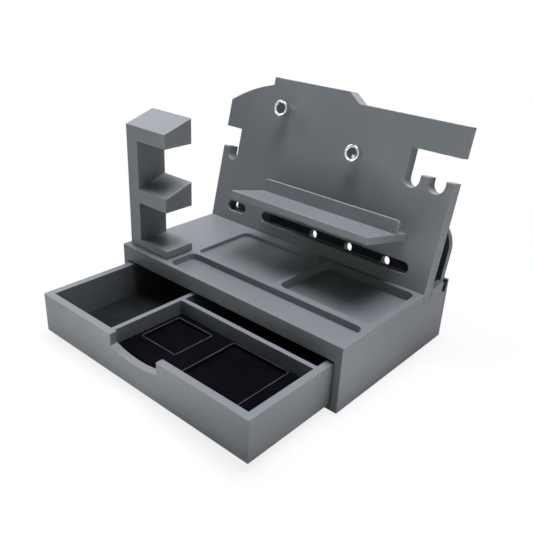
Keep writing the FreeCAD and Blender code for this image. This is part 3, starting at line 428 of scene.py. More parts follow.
@dataclass(frozen=True)
class Pile(Finish):
    """Felt or velvet: a short pile with a sheen; brushed patches are painted lighter and darker,
    partly random tone and partly a painted sheen of the nap.
    """

    low: Colour
    high: Colour
    sheen: float
    sheen_tint: Colour
    pile_scale: float
    brush_scale: float
    roughness: float = 0.95
    sheen_roughness: float = 0.45
    gloss: float = 0.12
    brushed_sheen_share: float = 0.4
    lint_share: float = 0.3
    lint_height: float = 0.5
    lint_coarseness: float = 3.0
    fibre_octaves: tuple[float, float] = (4.0, 0.75)
    lint_octaves: tuple[float, float] = (2.0, 0.6)
    brush_octaves: tuple[float, float] = (2.0, 0.4)
    brush_span: Span = (0.35, 0.65)
    lint_span: Span = (0.68, 0.80)
    relief: Relief = (0.35, 0.25 * MM)

    def draw(self, sheet: ShaderSheet, place: Wire) -> None:
        """Draw the finish.

        Args:
            sheet: The sheet to draw on.
            place: The point on the piece.
        """
        fibre = sheet.grain(place, self.pile_scale, *self.fibre_octaves)
        combed = sheet.stretched(place, (1.0, self.lint_coarseness, 1.0))
        lint = sheet.grain(combed, self.pile_scale / self.lint_coarseness, *self.lint_octaves)
        # Brushed patches: partly random tone, partly a painted sheen where the nap lies different
        # ways.
        brushed_sheen = sheet.grain(place, self.brush_scale, *self.brush_octaves).rise(*self.brush_span)
        share = fibre * (1.0 - self.brushed_sheen_share) + brushed_sheen * self.brushed_sheen_share
        tone = sheet.blend(share, self.low, self.high)
        tone = sheet.blend(lint.rise(*self.lint_span) * self.lint_share, tone, self.sheen_tint)
        nap = sheet.bump(fibre + lint * self.lint_height, *self.relief)
        sheet.surface({"Base Color": tone, "Roughness": self.roughness, "Normal": nap,
                       "Sheen Weight": self.sheen, "Sheen Roughness": self.sheen_roughness,
                       "Sheen Tint": (*self.sheen_tint, 1.0), "Specular IOR Level": self.gloss})


@dataclass(frozen=True)
class Metal(Finish):
    """Plated metal, with faint turning lines and wipe marks."""

    tone: Colour
    tarnish: Colour
    roughness: float
    wipe: float
    tilt: float
    line_depth: float = 0.02 * MM
    tarnish_share: float = 0.5
    tarnish_span: Span = (0.45, 0.75)
    wipe_span: Span = (0.4, 0.8)
    turning: Stretch = (1.0, 9.0, 9.0)
    smear: Grain = (160.0, 3.0, 0.6)
    scratch: Grain = (420.0, 2.0, 0.7)

    def draw(self, sheet: ShaderSheet, place: Wire) -> None:
        """Draw the finish.

        Args:
            sheet: The sheet to draw on.
            place: The point on the piece.
        """
        smear = sheet.grain(place, *self.smear)
        scratch = sheet.grain(sheet.stretched(place, self.turning), *self.scratch)
        dull = smear.rise(*self.tarnish_span) * self.tarnish_share
        tone = sheet.blend(dull, self.tone, self.tarnish)
        rough = self.roughness + smear.rise(*self.wipe_span) * self.wipe
        skin = sheet.bump(scratch, self.tilt, self.line_depth)
        sheet.surface({"Base Color": tone, "Metallic": 1.0, "Roughness": rough, "Normal": skin})


@dataclass(frozen=True)
class SlipStrip(Finish):
    """Low-friction plastic strip, rubbed to a shine where the drawer runs."""

    tone: Colour = (0.66, 0.66, 0.63)
    rubbed: Colour = (0.50, 0.50, 0.49)
    roughness: float = 0.55
    shine: float = 0.25
    track_span: Span = (0.4, 0.7)
    running: Stretch = (60.0, 1.0, 60.0)
    track: Grain = (12.0, 3.0, 0.6)
    relief: Relief = (0.2, 0.05 * MM)

    def draw(self, sheet: ShaderSheet, place: Wire) -> None:
        """Draw the finish.

        Args:
            sheet: The sheet to draw on.
            place: The point on the piece.
        """
        track = sheet.grain(sheet.stretched(place, self.running), *self.track)
        tone = sheet.blend(track.rise(*self.track_span), self.tone, self.rubbed)
        sheet.surface({"Base Color": tone, "Roughness": self.roughness - track * self.shine,
                       "Normal": sheet.bump(track, *self.relief)})


@dataclass(frozen=True)
class BareBeech(Finish):
    """Bare turned beech: fine short flecks along the grain."""

    grain_along: Stretch
    pale: Colour = (0.56, 0.40, 0.24)
    dark: Colour = (0.40, 0.25, 0.13)
    roughness: float = 0.55
    fleck_roughness: float = 0.2
    fleck_share: float = 0.6
    band_span: Span = (0.3, 0.7)
    fleck_span: Span = (0.62, 0.72)
    band: Grain = (260.0, 3.0, 0.55)
    fleck: Grain = (1400.0, 2.0, 0.6)
    relief: Relief = (0.3, 0.08 * MM)

    def draw(self, sheet: ShaderSheet, place: Wire) -> None:
        """Draw the finish.

        Args:
            sheet: The sheet to draw on.
            place: The point on the piece.
        """
        combed = sheet.stretched(place, self.grain_along)
        band = sheet.grain(combed, *self.band)
        fleck = sheet.grain(combed, *self.fleck)
        tone = sheet.blend(band.rise(*self.band_span), self.pale, self.dark)
        tone = sheet.blend(fleck.rise(*self.fleck_span) * self.fleck_share, tone, self.dark)
        rough = self.roughness + fleck * self.fleck_roughness
        sheet.surface({"Base Color": tone, "Roughness": rough,
                       "Normal": sheet.bump(fleck, *self.relief)})


FELT = Pile("dark_felt", low=(0.009, 0.011, 0.011), high=(0.025, 0.030, 0.030), sheen=0.15,
            sheen_tint=(0.24, 0.29, 0.28), pile_scale=1900.0, brush_scale=45.0)
VELVET = Pile("black_velvet", low=(0.0014, 0.0014, 0.0022), high=(0.0040, 0.0040, 0.0062),
              sheen=0.035, sheen_tint=(0.06, 0.06, 0.09), pile_scale=2600.0, brush_scale=28.0,
              gloss=0.03)
PIPING = Pile("grey_piping", low=(0.05, 0.05, 0.052), high=(0.115, 0.115, 0.12), sheen=0.12,
              sheen_tint=(0.3, 0.3, 0.3), pile_scale=2400.0, brush_scale=90.0, roughness=0.8)
CHROME = Metal("polished_chrome", tone=(0.66, 0.67, 0.69), tarnish=(0.52, 0.53, 0.56),
               roughness=0.06, wipe=0.05, tilt=0.02)
ZINC = Metal("zinc_plated_steel", tone=(0.52, 0.53, 0.55), tarnish=(0.38, 0.38, 0.38),
             roughness=0.28, wipe=0.18, tilt=0.35)


class Wardrobe:
    """Makes each finish once, and puts it on pieces."""

    def __init__(self) -> None:
        """Start with no finish made."""
        self.made: dict[str, bpy.types.Material] = {}

    def put(self, piece: bpy.types.Object, finish: Finish) -> bpy.types.Object:
        """Dress a piece.

        Args:
            piece: A board of the frame or a new piece.
            finish: One of the finishes.

        Returns:
            The piece.
        """
        if finish.name not in self.made:
            self.made[finish.name] = finish.material()
        if not piece.material_slots:
            piece.data.materials.append(None)
        for held in piece.material_slots:
            held.material = self.made[finish.name]
        return piece

    def nodes(self, finish: Finish, *names: str) -> None:
        """Dress the nodes of the frame that have these names."""
        for name in names:
            self.put(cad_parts[name], finish)


# Mesh making


def finished(name: str, shape: bmesh.types.BMesh, smooth: bool = True) -> bpy.types.Object:
    """Turn a mesh in the making into an object.

    Args:
        name: The object's name.
        shape: The mesh, which is freed.
        smooth: Whether its faces shade as one curved surface.

    Returns:
        The object.
    """
    bmesh.ops.recalc_face_normals(shape, faces=shape.faces)
    mesh = bpy.data.meshes.new(name)
    shape.to_mesh(mesh)
    shape.free()
    for polygon in mesh.polygons:
        polygon.use_smooth = smooth
    if smooth:
        mesh.set_sharp_from_angle(angle=SHARP_ANGLE)
    piece = bpy.data.objects.new(name, mesh)
    bpy.context.scene.collection.objects.link(piece)
    return piece


def solids_of(node: str) -> list[tuple[Vector, Vector, list[Vector]]]:
    """Take a node of the frame apart into its separate solids, from left to right.

    Args:
        node: The node's name.

    Returns:
        For each solid, its lowest and highest corner and its points.
    """
    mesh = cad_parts[node].data
    keys = [tuple(round(c, WELD_DIGITS) for c in v.co) for v in mesh.vertices]
    lead: dict[tuple[float, ...], tuple[float, ...]] = {key: key for key in keys}

    def head(key: tuple[float, ...]) -> tuple[float, ...]:
        """Follow a point to the one that leads its solid.

        Args:
            key: The point.

        Returns:
            The leading point.
        """
        while lead[key] != key:
            lead[key] = lead[lead[key]]
            key = lead[key]
        return key

    for polygon in mesh.polygons:
        corners = [head(keys[v]) for v in polygon.vertices]
        for corner in corners[1:]:
            lead[head(corner)] = head(corners[0])
    groups: dict[tuple[float, ...], list[Vector]] = {}
    for key in lead:
        groups.setdefault(head(key), []).append(Vector(key))
    found = []
    for points in groups.values():
        low = Vector([min(p[i] for p in points) for i in range(3)])
        high = Vector([max(p[i] for p in points) for i in range(3)])
        found.append((low, high, points))
    return sorted(found, key=lambda solid: (round(solid[0].x, SORT_DIGITS), *solid[0].yz))


def join_rings(shape: bmesh.types.BMesh, first: list[bmesh.types.BMVert],
               second: list[bmesh.types.BMVert]) -> None:
    """Join two rings of equally many points with faces, or a ring and one point.

    Args:
        shape: The mesh that the faces are added to.
        first: A ring's points in order.
        second: The next ring's points.
    """
    sides = max(len(first), len(second))
    for step in range(sides):
        after = (step + 1) % sides
        corners = (first[step % len(first)], second[step % len(second)],
                   second[after % len(second)], first[after % len(first)])
        shape.faces.new(tuple(dict.fromkeys(corners)))


def turned(shape: bmesh.types.BMesh, profile: Iterable[tuple[float, float]], turn: Matrix,
           sides: int = ROUND_SIDES, wave: Callable[[float, float], float] | None = None) -> None:
    """Turn a profile about an axis, as on a lathe.

    Args:
        shape: The mesh that the piece is added to.
        profile: Points (radius, height) from the axis to the axis again, or open at radius above 0.
        turn: The placement, whose z is the axis.
        sides: How many steps the round has.
        wave: What is taken off the height at a radius and an angle.
    """
    rings = []
    for radius, height in profile:
        ring = []
        for step in range(sides if radius > ON_AXIS else 1):
            angle = 2.0 * math.pi * step / sides
            drop = wave(radius, angle) if wave else 0.0
            point = Vector((radius * math.cos(angle), radius * math.sin(angle), height - drop))
            ring.append(shape.verts.new(turn @ point))
        rings.append(ring)
    for first, second in zip(rings, rings[1:]):
        join_rings(shape, first, second)


def round_corner(centre: tuple[float, float], radius: float, start: float, end: float,
                 steps: int = 5) -> list[tuple[float, float]]:
    """Give the points of a quarter round of a profile.

    Args:
        centre: The round's centre, as radius and height.
        radius: The round's own radius.
        start: The first angle in degrees.
        end: The last angle in degrees.
        steps: How many pieces it is cut into.

    Returns:
        The points.
    """
    points = []
    for step in range(steps + 1):
        angle = math.radians(start + (end - start) * step / steps)
        points.append((centre[0] + radius * math.cos(angle), centre[1] + radius * math.sin(angle)))
    return points


def in_rounded(x: float, y: float, half: tuple[float, float], corner: float) -> float:
    """Measure how far a point is inside a rectangle with round corners.

    Args:
        x: The point's distance from the middle, across.
        y: The point's distance from the middle, along.
        half: Half the rectangle's two sizes.
        corner: The corners' radius.

    Returns:
        The distance to the outline, positive inside.
    """
    over_x = abs(x) - half[0] + corner
    over_y = abs(y) - half[1] + corner
    outside = math.hypot(max(over_x, 0.0), max(over_y, 0.0))
    return corner - outside - min(max(over_x, over_y), 0.0)


def placed(spot: Vector, axis: Vector) -> Matrix:
    """Give the placement of a turned piece whose z runs from a spot along an axis."""
    return Matrix.Translation(spot) @ axis.to_track_quat("Z", "Y").to_matrix().to_4x4()


def smooth_step(value: float, low: float, high: float) -> float:
    """Give a smooth step from 0 at low to 1 at high."""
    share = min(max((value - low) / (high - low), 0.0), 1.0)
    return share * share * (3.0 - 2.0 * share)


@dataclass
class Slab:
    """A soft slab with a rolled upper rim, made as a fine grid over a solid's box."""

    low: Vector
    high: Vector
    corner: float
    roll: float
    spacing: float
    wave: float = 0.0
    dent: Callable[[float, float], float] | None = None
    ripples: float = 55.0
    ripple_slice: float = 3.7
    flat_after: float = 3.0
    fewest: int = 4

    def top_at(self, x: float, y: float, inside: float) -> float:
        """Give the height of the upper face.

        Args:
            x: The point's place across.
            y: The point's place along.
            inside: Its distance from the rim.

        Returns:
            The height.
        """
        over = max(self.roll - inside, 0.0)
        roll = self.roll - math.sqrt(max(self.roll ** 2 - over ** 2, 0.0))
        spot = Vector((x * self.ripples, y * self.ripples, self.ripple_slice))
        ripple = noise.noise(spot) * HALF + HALF
        drop = roll + self.wave * ripple * smooth_step(inside, 0.0, self.flat_after * self.roll)
        if self.dent:
            drop += self.dent(x, y)
        return self.high.z - drop

    def build(self, shape: bmesh.types.BMesh) -> None:
        """Add the slab to a mesh.

        Args:
            shape: The mesh that it is added to.
        """
        half = ((self.high.x - self.low.x) / 2, (self.high.y - self.low.y) / 2)
        counts = [max(self.fewest, round(2 * size / self.spacing)) for size in half]
        middle = (self.low + self.high) / 2
        rows = []
        for row in range(counts[1] + 1):
            line = []
            for column in range(counts[0] + 1):
                x = half[0] * (2 * column / counts[0] - 1)
                y = half[1] * (2 * row / counts[1] - 1)
                inside = in_rounded(x, y, half, self.corner)
                if inside < 0:
                    corner_x = math.copysign(half[0] - self.corner, x)
                    corner_y = math.copysign(half[1] - self.corner, y)
                    reach = Vector((x - corner_x, y - corner_y)).normalized() * self.corner
                    x, y, inside = corner_x + reach.x, corner_y + reach.y, 0.0
                x, y = x + middle.x, y + middle.y
                line.append(shape.verts.new((x, y, self.top_at(x, y, inside))))
            rows.append(line)
        for below, above in zip(rows, rows[1:]):
            for column in range(counts[0]):
                shape.faces.new((*below[column:column + 2], above[column + 1], above[column]))
        rim = rows[0] + [line[-1] for line in rows[1:]] + rows[-1][-2::-1]
        rim += [line[0] for line in rows[-2:0:-1]]
        foot = [shape.verts.new((v.co.x, v.co.y, self.low.z)) for v in rim]
        for step, corner in enumerate(rim):
            after = (step + 1) % len(rim)
            shape.faces.new((rim[after], corner, foot[step], foot[after]))
        shape.faces.new(foot)


# Sub-assemblies


@dataclass
class Maker:
    """What the sub-assemblies share: the wardrobe, and the way that a piece joins the object."""

    wardrobe: Wardrobe

    def add(self, piece: bpy.types.Object, body: str, slot: str, finish: Finish,
            *stands_for: str) -> bpy.types.Object:
        """Dress a new piece and put it on a body of the frame.

        Args:
            piece: The piece.
            body: The body that it moves with.
            slot: The name of its material slot; not used.
            finish: One of the finishes.
            stands_for: The nodes of the frame that it stands for.

        Returns:
            The piece.
        """
        self.wardrobe.put(piece, finish)
        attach(piece, body)
        if stands_for:
            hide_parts(*stands_for)
        log.info("made %s with %d faces", piece.name, len(piece.data.polygons))
        return piece


@dataclass
class ScrewSet(Maker):
    """Cross-head screws: a low pan head with its recess, and a threaded shank."""

    head_radius: float = 3.5 * MM
    head_height: float = 2.0 * MM
    shank_radius: float = 1.75 * MM
    root_radius: float = 1.3 * MM
    pitch: float = 1.4 * MM
    recess_depth: float = 1.1 * MM
    recess_reach: float = 2.1 * MM
    recess_half_width: float = 0.45 * MM
    arm_edge: Span = (0.7, 1.3)
    arm_end: float = 0.8
    rim: float = 0.35 * MM
    crown: float = 0.25 * MM
    face_share: float = 0.9
    face_steps: int = 14
    shank_sides: int = 16
    rings_per_turn: int = 4
    point_length: float = 7.0 * MM
    point_taper: float = 0.8
    ridge_slope: float = 4.0
    rim_start: float = 80.0

    def recess(self, radius: float, angle: float) -> float:
        """Give the depth of the cross recess at a point of the head.

        Args:
            radius: The point's distance from the axis.
            angle: Its angle about the axis.

        Returns:
            The depth.
        """
        across = abs(radius * math.cos(angle))
        along = abs(radius * math.sin(angle))
        off = min(across, along)
        edge = [self.recess_half_width * share for share in self.arm_edge]
        arm = 1.0 - smooth_step(off, *edge)
        reach = 1.0 - smooth_step(radius, self.recess_reach * self.arm_end, self.recess_reach)
        return self.recess_depth * arm * reach

    def screw(self, shape: bmesh.types.BMesh, points: list[Vector], axis: Vector) -> None:
        """Add one screw in the place of a solid.

        Args:
            shape: The mesh that it is added to.
            points: The solid's points.
            axis: The direction that its head faces.
        """
        rises = [p.dot(axis) for p in points]
        top, bottom = max(rises), min(rises)
        head = [p for p in points if top - p.dot(axis) < self.head_height * HALF]
        middle = sum(head, Vector()) / len(head)
        turn = placed(middle + axis * (top - middle.dot(axis)), axis)
        steps = [step / self.face_steps for step in range(self.face_steps + 1)]
        outs = [self.head_radius * self.face_share * step for step in steps]
        dome = [(out, -self.crown * (out / self.head_radius) ** 2) for out in outs]
        centre = (self.head_radius - self.rim, -self.crown - self.rim)
        corner = round_corner(centre, self.rim, self.rim_start, 0)
        under = [(self.head_radius, -self.head_height), (self.shank_radius, -self.head_height)]
        turned(shape, dome + corner + under, turn, wave=self.head_recess)
        self.thread(shape, turn, top - bottom)

    def head_recess(self, radius: float, angle: float) -> float:
        """Give the recess's depth on the head's face, and nothing outside it."""
        return self.recess(radius, angle) if radius < self.recess_reach else 0.0

    def thread(self, shape: bmesh.types.BMesh, turn: Matrix, length: float) -> None:
        """Add the threaded shank.

        Args:
            shape: The mesh that it is added to.
            turn: The screw's placement.
            length: The whole screw's length.
        """
        sides, start, end = self.shank_sides, self.head_height, length
        count = round((end - start) / self.pitch * self.rings_per_turn)
        rings = []
        for step in range(count + 1):
            depth = start + (end - start) * step / count
            taper = 1.0 - smooth_step(depth, end - self.point_length, end) * self.point_taper
            ring = []
            for side in range(sides):
                angle = 2.0 * math.pi * side / sides
                phase = (depth / self.pitch + side / sides) % 1.0
                ridge = max(0.0, 1.0 - abs(phase - HALF) * self.ridge_slope)
                radius = self.root_radius + (self.shank_radius - self.root_radius) * ridge
                radius *= taper
                place = Vector((radius * math.cos(angle), radius * math.sin(angle), -depth))
                ring.append(shape.verts.new(turn @ place))
            rings.append(ring)
        for first, second in zip(rings, rings[1:]):
            join_rings(shape, first, second)
        shape.faces.new(rings[0])
        shape.faces.new(rings[-1])

    def build(self, node: str, axis: Vector) -> None:
        """Build the screws of one node of the frame.

        Args:
            node: The node's name.
            axis: The direction that the heads face.
        """
        shape = bmesh.new()
        for _, _, points in solids_of(node):
            self.screw(shape, points, axis)
        self.add(finished(node + "_cross_head", shape), "box", "steel", ZINC, node)


@dataclass
class FeltDots(Maker):
    """Round felt pads, with a fibre edge that swells a little."""

    swell: float = 0.25 * MM
    rim: float = 0.8 * MM
    rim_share: float = 0.45
    widest_at: float = 0.4
    flat_share: float = 0.6
    fill: float = 0.9

    def build(self, node: str, name: str, axis: Vector, body: str) -> None:
        """Build the pads of one node of the frame.

        Args:
            node: The node's name.
            name: The new piece's name.
            axis: The direction that the pads' free faces look in.
            body: The body that they move with.
        """
        shape = bmesh.new()
        for low, high, _ in solids_of(node):
            centre, size = (low + high) / 2, high - low
            thick = abs(size.dot(axis))
            radius = max(size) / 2
            round_over = min(self.rim_share * thick, self.rim)
            profile = [(0.0, 0.0), (radius - self.swell, 0.0), (radius, thick * self.widest_at)]
            profile += round_corner((radius - round_over, thick - round_over), round_over, 0, 90)
            profile += [(radius * self.flat_share, thick), (0.0, thick)]
            turned(shape, profile, placed(centre - axis * thick / 2, axis))
        piece = self.add(finished(name, shape), body, "felt", FELT, node)


@dataclass
class Carcass(Maker):
    """The box itself: sides, base, back wall and recessed tray, with what the drawer runs on."""

    def dress(self) -> None:
        """Finish the boards, pins and strips of the frame."""
        put = self.wardrobe.nodes
        put(SatinPaint("paint_on_sides", Through.ACROSS), "left_side", "right_side", "side_nails")
        put(SatinPaint("paint_on_back", Through.DEPTH), "back_wall")
        put(SatinPaint("paint_on_base", Through.UP), "base_floor")
        # Painted shade: the tray's faces that look to the front behind y = 80 mm are painted near
        # black.
        put(SatinPaint("paint_on_tray", Through.UP, FOOT_MARKS, Through.DEPTH), "tray_top")
        put(BareBeech("beech_pins", (6.0, 6.0, 1.0)), "carcass_pins")
        put(BareBeech("beech_strip", (1.0, 8.0, 8.0)), "drawer_stop")
        put(SlipStrip("slick_strip"), "drawer_runners")
        log.info("dressed the carcass")

    def build(self) -> None:
        """Build the felt feet and stops."""
        dots = FeltDots(self.wardrobe)
        dots.build("foot_pads", "felt_feet", Vector((0.0, 0.0, -1.0)), "box")
        dots.build("drawer_bumpers", "felt_stops", Vector((0.0, -1.0, 0.0)), "box")


@dataclass
class Insert(Maker):
    """The velvet-covered board with two sunk wells, and the piping round them."""

    well_depth: float = 4.0 * MM
    well_corner: float = 2.5 * MM
    wall_run: float = 1.3 * MM
    spacing: float = 1.1 * MM
    cover_roll: float = 1.6 * MM
    cord_radius: float = 0.6 * MM
    cord_pitch: float = 2.4 * MM
    cord_step: float = 0.55 * MM
    cord_sides: int = 10
    corner_steps: int = 8
    ply_swell: float = 0.14
    cover_corner: float = 1.5 * MM
    cover_wave: float = 0.3 * MM
    floor_crown: float = 0.35 * MM
    crown_from: float = 6.0 * MM
    crown_to: float = 22.0 * MM
    pull: float = 0.35 * MM
    pull_out: float = 1.5 * MM
    pull_width: float = 2.0 * MM
    fill: float = 0.8
    wells: list[tuple[Vector, Vector]] = field(default_factory=list)

    def dent(self, x: float, y: float) -> float:
        """Give how deep the cover lies below its highest at a point.

        Args:
            x: The point's place across.
            y: The point's place along.

        Returns:
            The depth.
        """
        deep = 0.0
        for low, high in self.wells:
            middle, half = (low + high) / 2, (high - low) / 2
            inside = in_rounded(x - middle.x, y - middle.y, (half.x, half.y), self.well_corner)
            crown = self.floor_crown * smooth_step(inside, self.crown_from, self.crown_to)
            fall = smooth_step(inside, self.cord_radius, self.cord_radius + self.wall_run)
            pull = self.pull * math.exp(-((inside + self.pull_out) / self.pull_width) ** 2)
            deep = max(deep, (self.well_depth - crown) * fall + (pull if inside < 0 else 0.0))
        return deep

    def ring(self, shape: bmesh.types.BMesh, low: Vector, high: Vector) -> None:
        """Add a ring of two-ply piping round a well.

        Args:
            shape: The mesh that it is added to.
            low: The lowest corner of the frame's plain trim.
            high: The trim's highest corner.
        """
        corner, inset, sides = self.well_corner, self.cord_radius, self.cord_sides
        left, right = low.x + inset, high.x - inset
        front, back = low.y + inset, high.y - inset
        spots = ((right - corner, front + corner, -90), (right - corner, back - corner, 0),
                 (left + corner, back - corner, 90), (left + corner, front + corner, 180))
        outline = [Vector(point) for x, y, start in spots
                   for point in round_corner((x, y), corner, start, start + 90, self.corner_steps)]
        path: list[tuple[Vector, Vector]] = []
        total, travelled, rings = 0.0, 0.0, []
        for first, second in zip(outline, outline[1:] + outline[:1]):
            run = second - first
            total += run.length
            count = max(1, round(run.length / self.cord_step))
            side = Vector((run.y, -run.x)).normalized()
            path += [(first + run * step / count, side) for step in range(count)]
        turns = 2.0 * math.pi * round(total / self.cord_pitch) / total
        for index, (place, side) in enumerate(path):
            travelled += (place - path[index - 1][0]).length if index else 0.0
            ring = []
            for step in range(sides):
                angle = 2.0 * math.pi * step / sides
                swell = self.ply_swell * abs(math.cos(angle - travelled * turns / 2.0))
                reach = self.cord_radius * (1.0 - self.ply_swell + swell)
                out, up = reach * math.cos(angle), reach * math.sin(angle)
                ring.append(shape.verts.new((*(place + side * out), high.z - inset + up)))
            rings.append(ring)
        for first, second in zip(rings, rings[1:] + rings[:1]):
            join_rings(shape, first, second)

    def build(self) -> None:
        """Build the covered board and the piping."""
        trims = solids_of("well_trims")
        self.wells = [(low, high) for low, high, _ in trims]
        low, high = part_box("velvet_insert")
        shape = bmesh.new()
        Slab(low, high, self.cover_corner, self.cover_roll, self.spacing, self.cover_wave,
             self.dent).build(shape)
        cover = self.add(finished("velvet_cover", shape), "drawer", "velvet", VELVET,
                         "velvet_insert")
        shape = bmesh.new()
        for low, high, _ in trims:
            self.ring(shape, low, high)
        self.add(finished("well_piping", shape), "drawer", "piping", PIPING, "well_trims")


@dataclass
class Drawer(Maker):
    """The drawer: four boards, a floor in grooves, two dividers, linings and the velvet insert."""

    lining_roll: float = 0.45 * MM
    lining_corner: float = 3.0 * MM
    lining_spacing: float = 2.5 * MM
    lining_wave: float = 0.25 * MM

    def dress(self) -> None:
        """Finish the boards, pins and blocks of the frame."""
        put = self.wardrobe.nodes
        put(SatinPaint("paint_on_drawer_ends", Through.DEPTH), "drawer_front", "drawer_back",
            "cross_divider")
        put(SatinPaint("paint_on_drawer_sides", Through.ACROSS), "drawer_left_side",
            "drawer_right_side", "long_divider")
        put(SatinPaint("paint_on_drawer_floor", Through.UP), "drawer_floor")
        put(BareBeech("beech_dowels", (1.0, 1.0, 1.0)), "drawer_pins")
        put(BareBeech("beech_blocks", (1.0, 8.0, 8.0)), "drawer_catches")
        log.info("dressed the drawer")

    def lining(self, node: str, name: str) -> None:
        """Build one felt lining on the drawer's floor.

        Args:
            node: The node that it stands for.
            name: The lining's name.
        """
        low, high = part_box(node)
        shape = bmesh.new()
        Slab(low, high, self.lining_corner, self.lining_roll, self.lining_spacing,
             self.lining_wave).build(shape)
        piece = self.add(finished(name, shape), "drawer", "felt", FELT, node)

    def build(self) -> None:
        """Build the linings and the insert."""
        self.lining("left_lining", "left_felt_lining")
        self.lining("rear_lining", "rear_felt_lining")
        Insert(self.wardrobe).build()


@dataclass
class DisplayPanel(Maker):
    """The leaning panel with its hooks, the phone shelf with its lip, the knobs and the support."""

    knob_radius: float = 10.25 * MM
    knob_head: float = 9.0 * MM
    knob_standoff: float = 18.0 * MM
    neck_radius: float = 5.0 * MM
    knob_rim: float = 1.1 * MM
    dish_floor: float = 7.0 * MM
    dish_depth: float = 1.5 * MM
    dish_dome: float = 0.25 * MM
    neck_fillet: float = 0.6
    steps: int = 8

    def dress(self) -> None:
        """Finish the boards and pins of the frame."""
        put = self.wardrobe.nodes
        put(SatinPaint("paint_on_panel", Through.PANEL, FOOT_MARKS), "display_panel")
        put(SatinPaint("paint_on_lip", Through.PANEL), "shelf_lip")
        # Painted shade: the rear support's cut edges and arrises take darker tones, and its faces
        # that look at the panel's back are painted near black behind the gap.
        put(SatinPaint("paint_on_support", Through.PANEL, painted_shade_on=Through.PANEL,
                       cut_edge_and_painted_shade_tone=(0.115, 0.131, 0.134), arris_wear_dust_and_painted_light_tone=(0.15, 0.165, 0.17)),
            "rear_support")
        put(SatinPaint("paint_on_shelf", Through.SHELF), "shelf")
        put(BareBeech("beech_lip_pins", (4.0, 4.0, 1.0)), "lip_pins")
        log.info("dressed the panel")

    def knob(self, node: str, name: str) -> None:
        """Turn one knob in the place of the frame's plain one.

        Args:
            node: The node that it stands for.
            name: The knob's name.
        """
        axis = Vector(Through.PANEL.value)
        slope = Vector(Through.SHELF.value)
        _, _, points = solids_of(node)[0]
        rises = [p.dot(slope) for p in points]
        front = max(p.dot(axis) for p in points)
        low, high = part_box(node)
        centre = slope * (max(rises) + min(rises)) / 2 + axis * front
        centre.x = (low.x + high.x) / 2
        radius, rim, head, steps = self.knob_radius, self.knob_rim, self.knob_head, self.steps
        dish, neck = self.dish_floor, self.neck_radius
        shares = [step / steps for step in range(steps)]
        profile = [(dish * share, self.dish_dome * (1.0 - share * share) - self.dish_depth)
                   for share in shares]
        profile += [(dish + (radius - rim - dish) * share,
                     -self.dish_depth * (1.0 - smooth_step(share, 0.0, 1.0))) for share in shares]
        profile += round_corner((radius - rim, -rim), rim, 90, 0, steps)
        profile += [(radius, -head * HALF)]
        profile += round_corner((radius - rim, -head + rim), rim, 0, -90, steps)
        profile += [(neck + rim, -head), (neck, -head - rim * self.neck_fillet),
                    (neck, -self.knob_standoff), (0.0, -self.knob_standoff)]
        shape = bmesh.new()
        turned(shape, profile, placed(centre, axis), 2 * ROUND_SIDES)
        self.add(finished(name, shape), "box", "chrome", CHROME, node)

    def build(self) -> None:
        """Build the knobs and the screws."""
        self.knob("upper_knob", "upper_chrome_knob")
        self.knob("lower_knob", "lower_chrome_knob")
        screws = ScrewSet(self.wardrobe)
        behind = -Vector(Through.PANEL.value)
        under = -Vector(Through.SHELF.value)
        screws.build("knob_screws", behind)
        screws.build("shelf_screws", behind)
        screws.build("panel_screws", under)


@dataclass
class WatchStand(Maker):
    """The watch stand: a foot on a felt pad, a post and two rising arms."""

    pad_corner: float = 1.5 * MM
    pad_roll: float = 0.3 * MM
    pad_spacing: float = 1.5 * MM
    fill: float = 1.0

    def dress(self) -> None:
        """Finish the boards and dowels of the frame."""
        put = self.wardrobe.nodes
        put(SatinPaint("paint_on_stand", Through.ACROSS), "stand_post", "upper_watch_arm",
            "lower_watch_arm")
        put(SatinPaint("paint_on_stand_foot", Through.UP), "stand_foot")
        put(BareBeech("beech_stand_dowels", (1.0, 6.0, 6.0)), "stand_dowels")
        log.info("dressed the watch stand")

    def build(self) -> None:
        """Build the pad under the foot and the screws from below."""
        low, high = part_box("stand_pad")
        shape = bmesh.new()
        Slab(low, high, self.pad_corner, self.pad_roll, self.pad_spacing).build(shape)
        pad = self.add(finished("stand_felt_pad", shape), "box", "felt", FELT, "stand_pad")
        ScrewSet(self.wardrobe).build("stand_screws", Vector((0.0, 0.0, -1.0)))


# Studio


@dataclass(frozen=True)
class SoftLamp:
    """A rectangular soft light that faces the middle of the object."""

    name: str
    place: Spot
    size: tuple[float, float]
    power: float
    tone: Colour = WHITE


@dataclass(frozen=True)
class WashLamp:
    """A lamp over the floor beside the object: it lights the paper and the low faces by it."""

    name: str
    over: tuple[float, float]
    height: float
    cone: float
    power: float


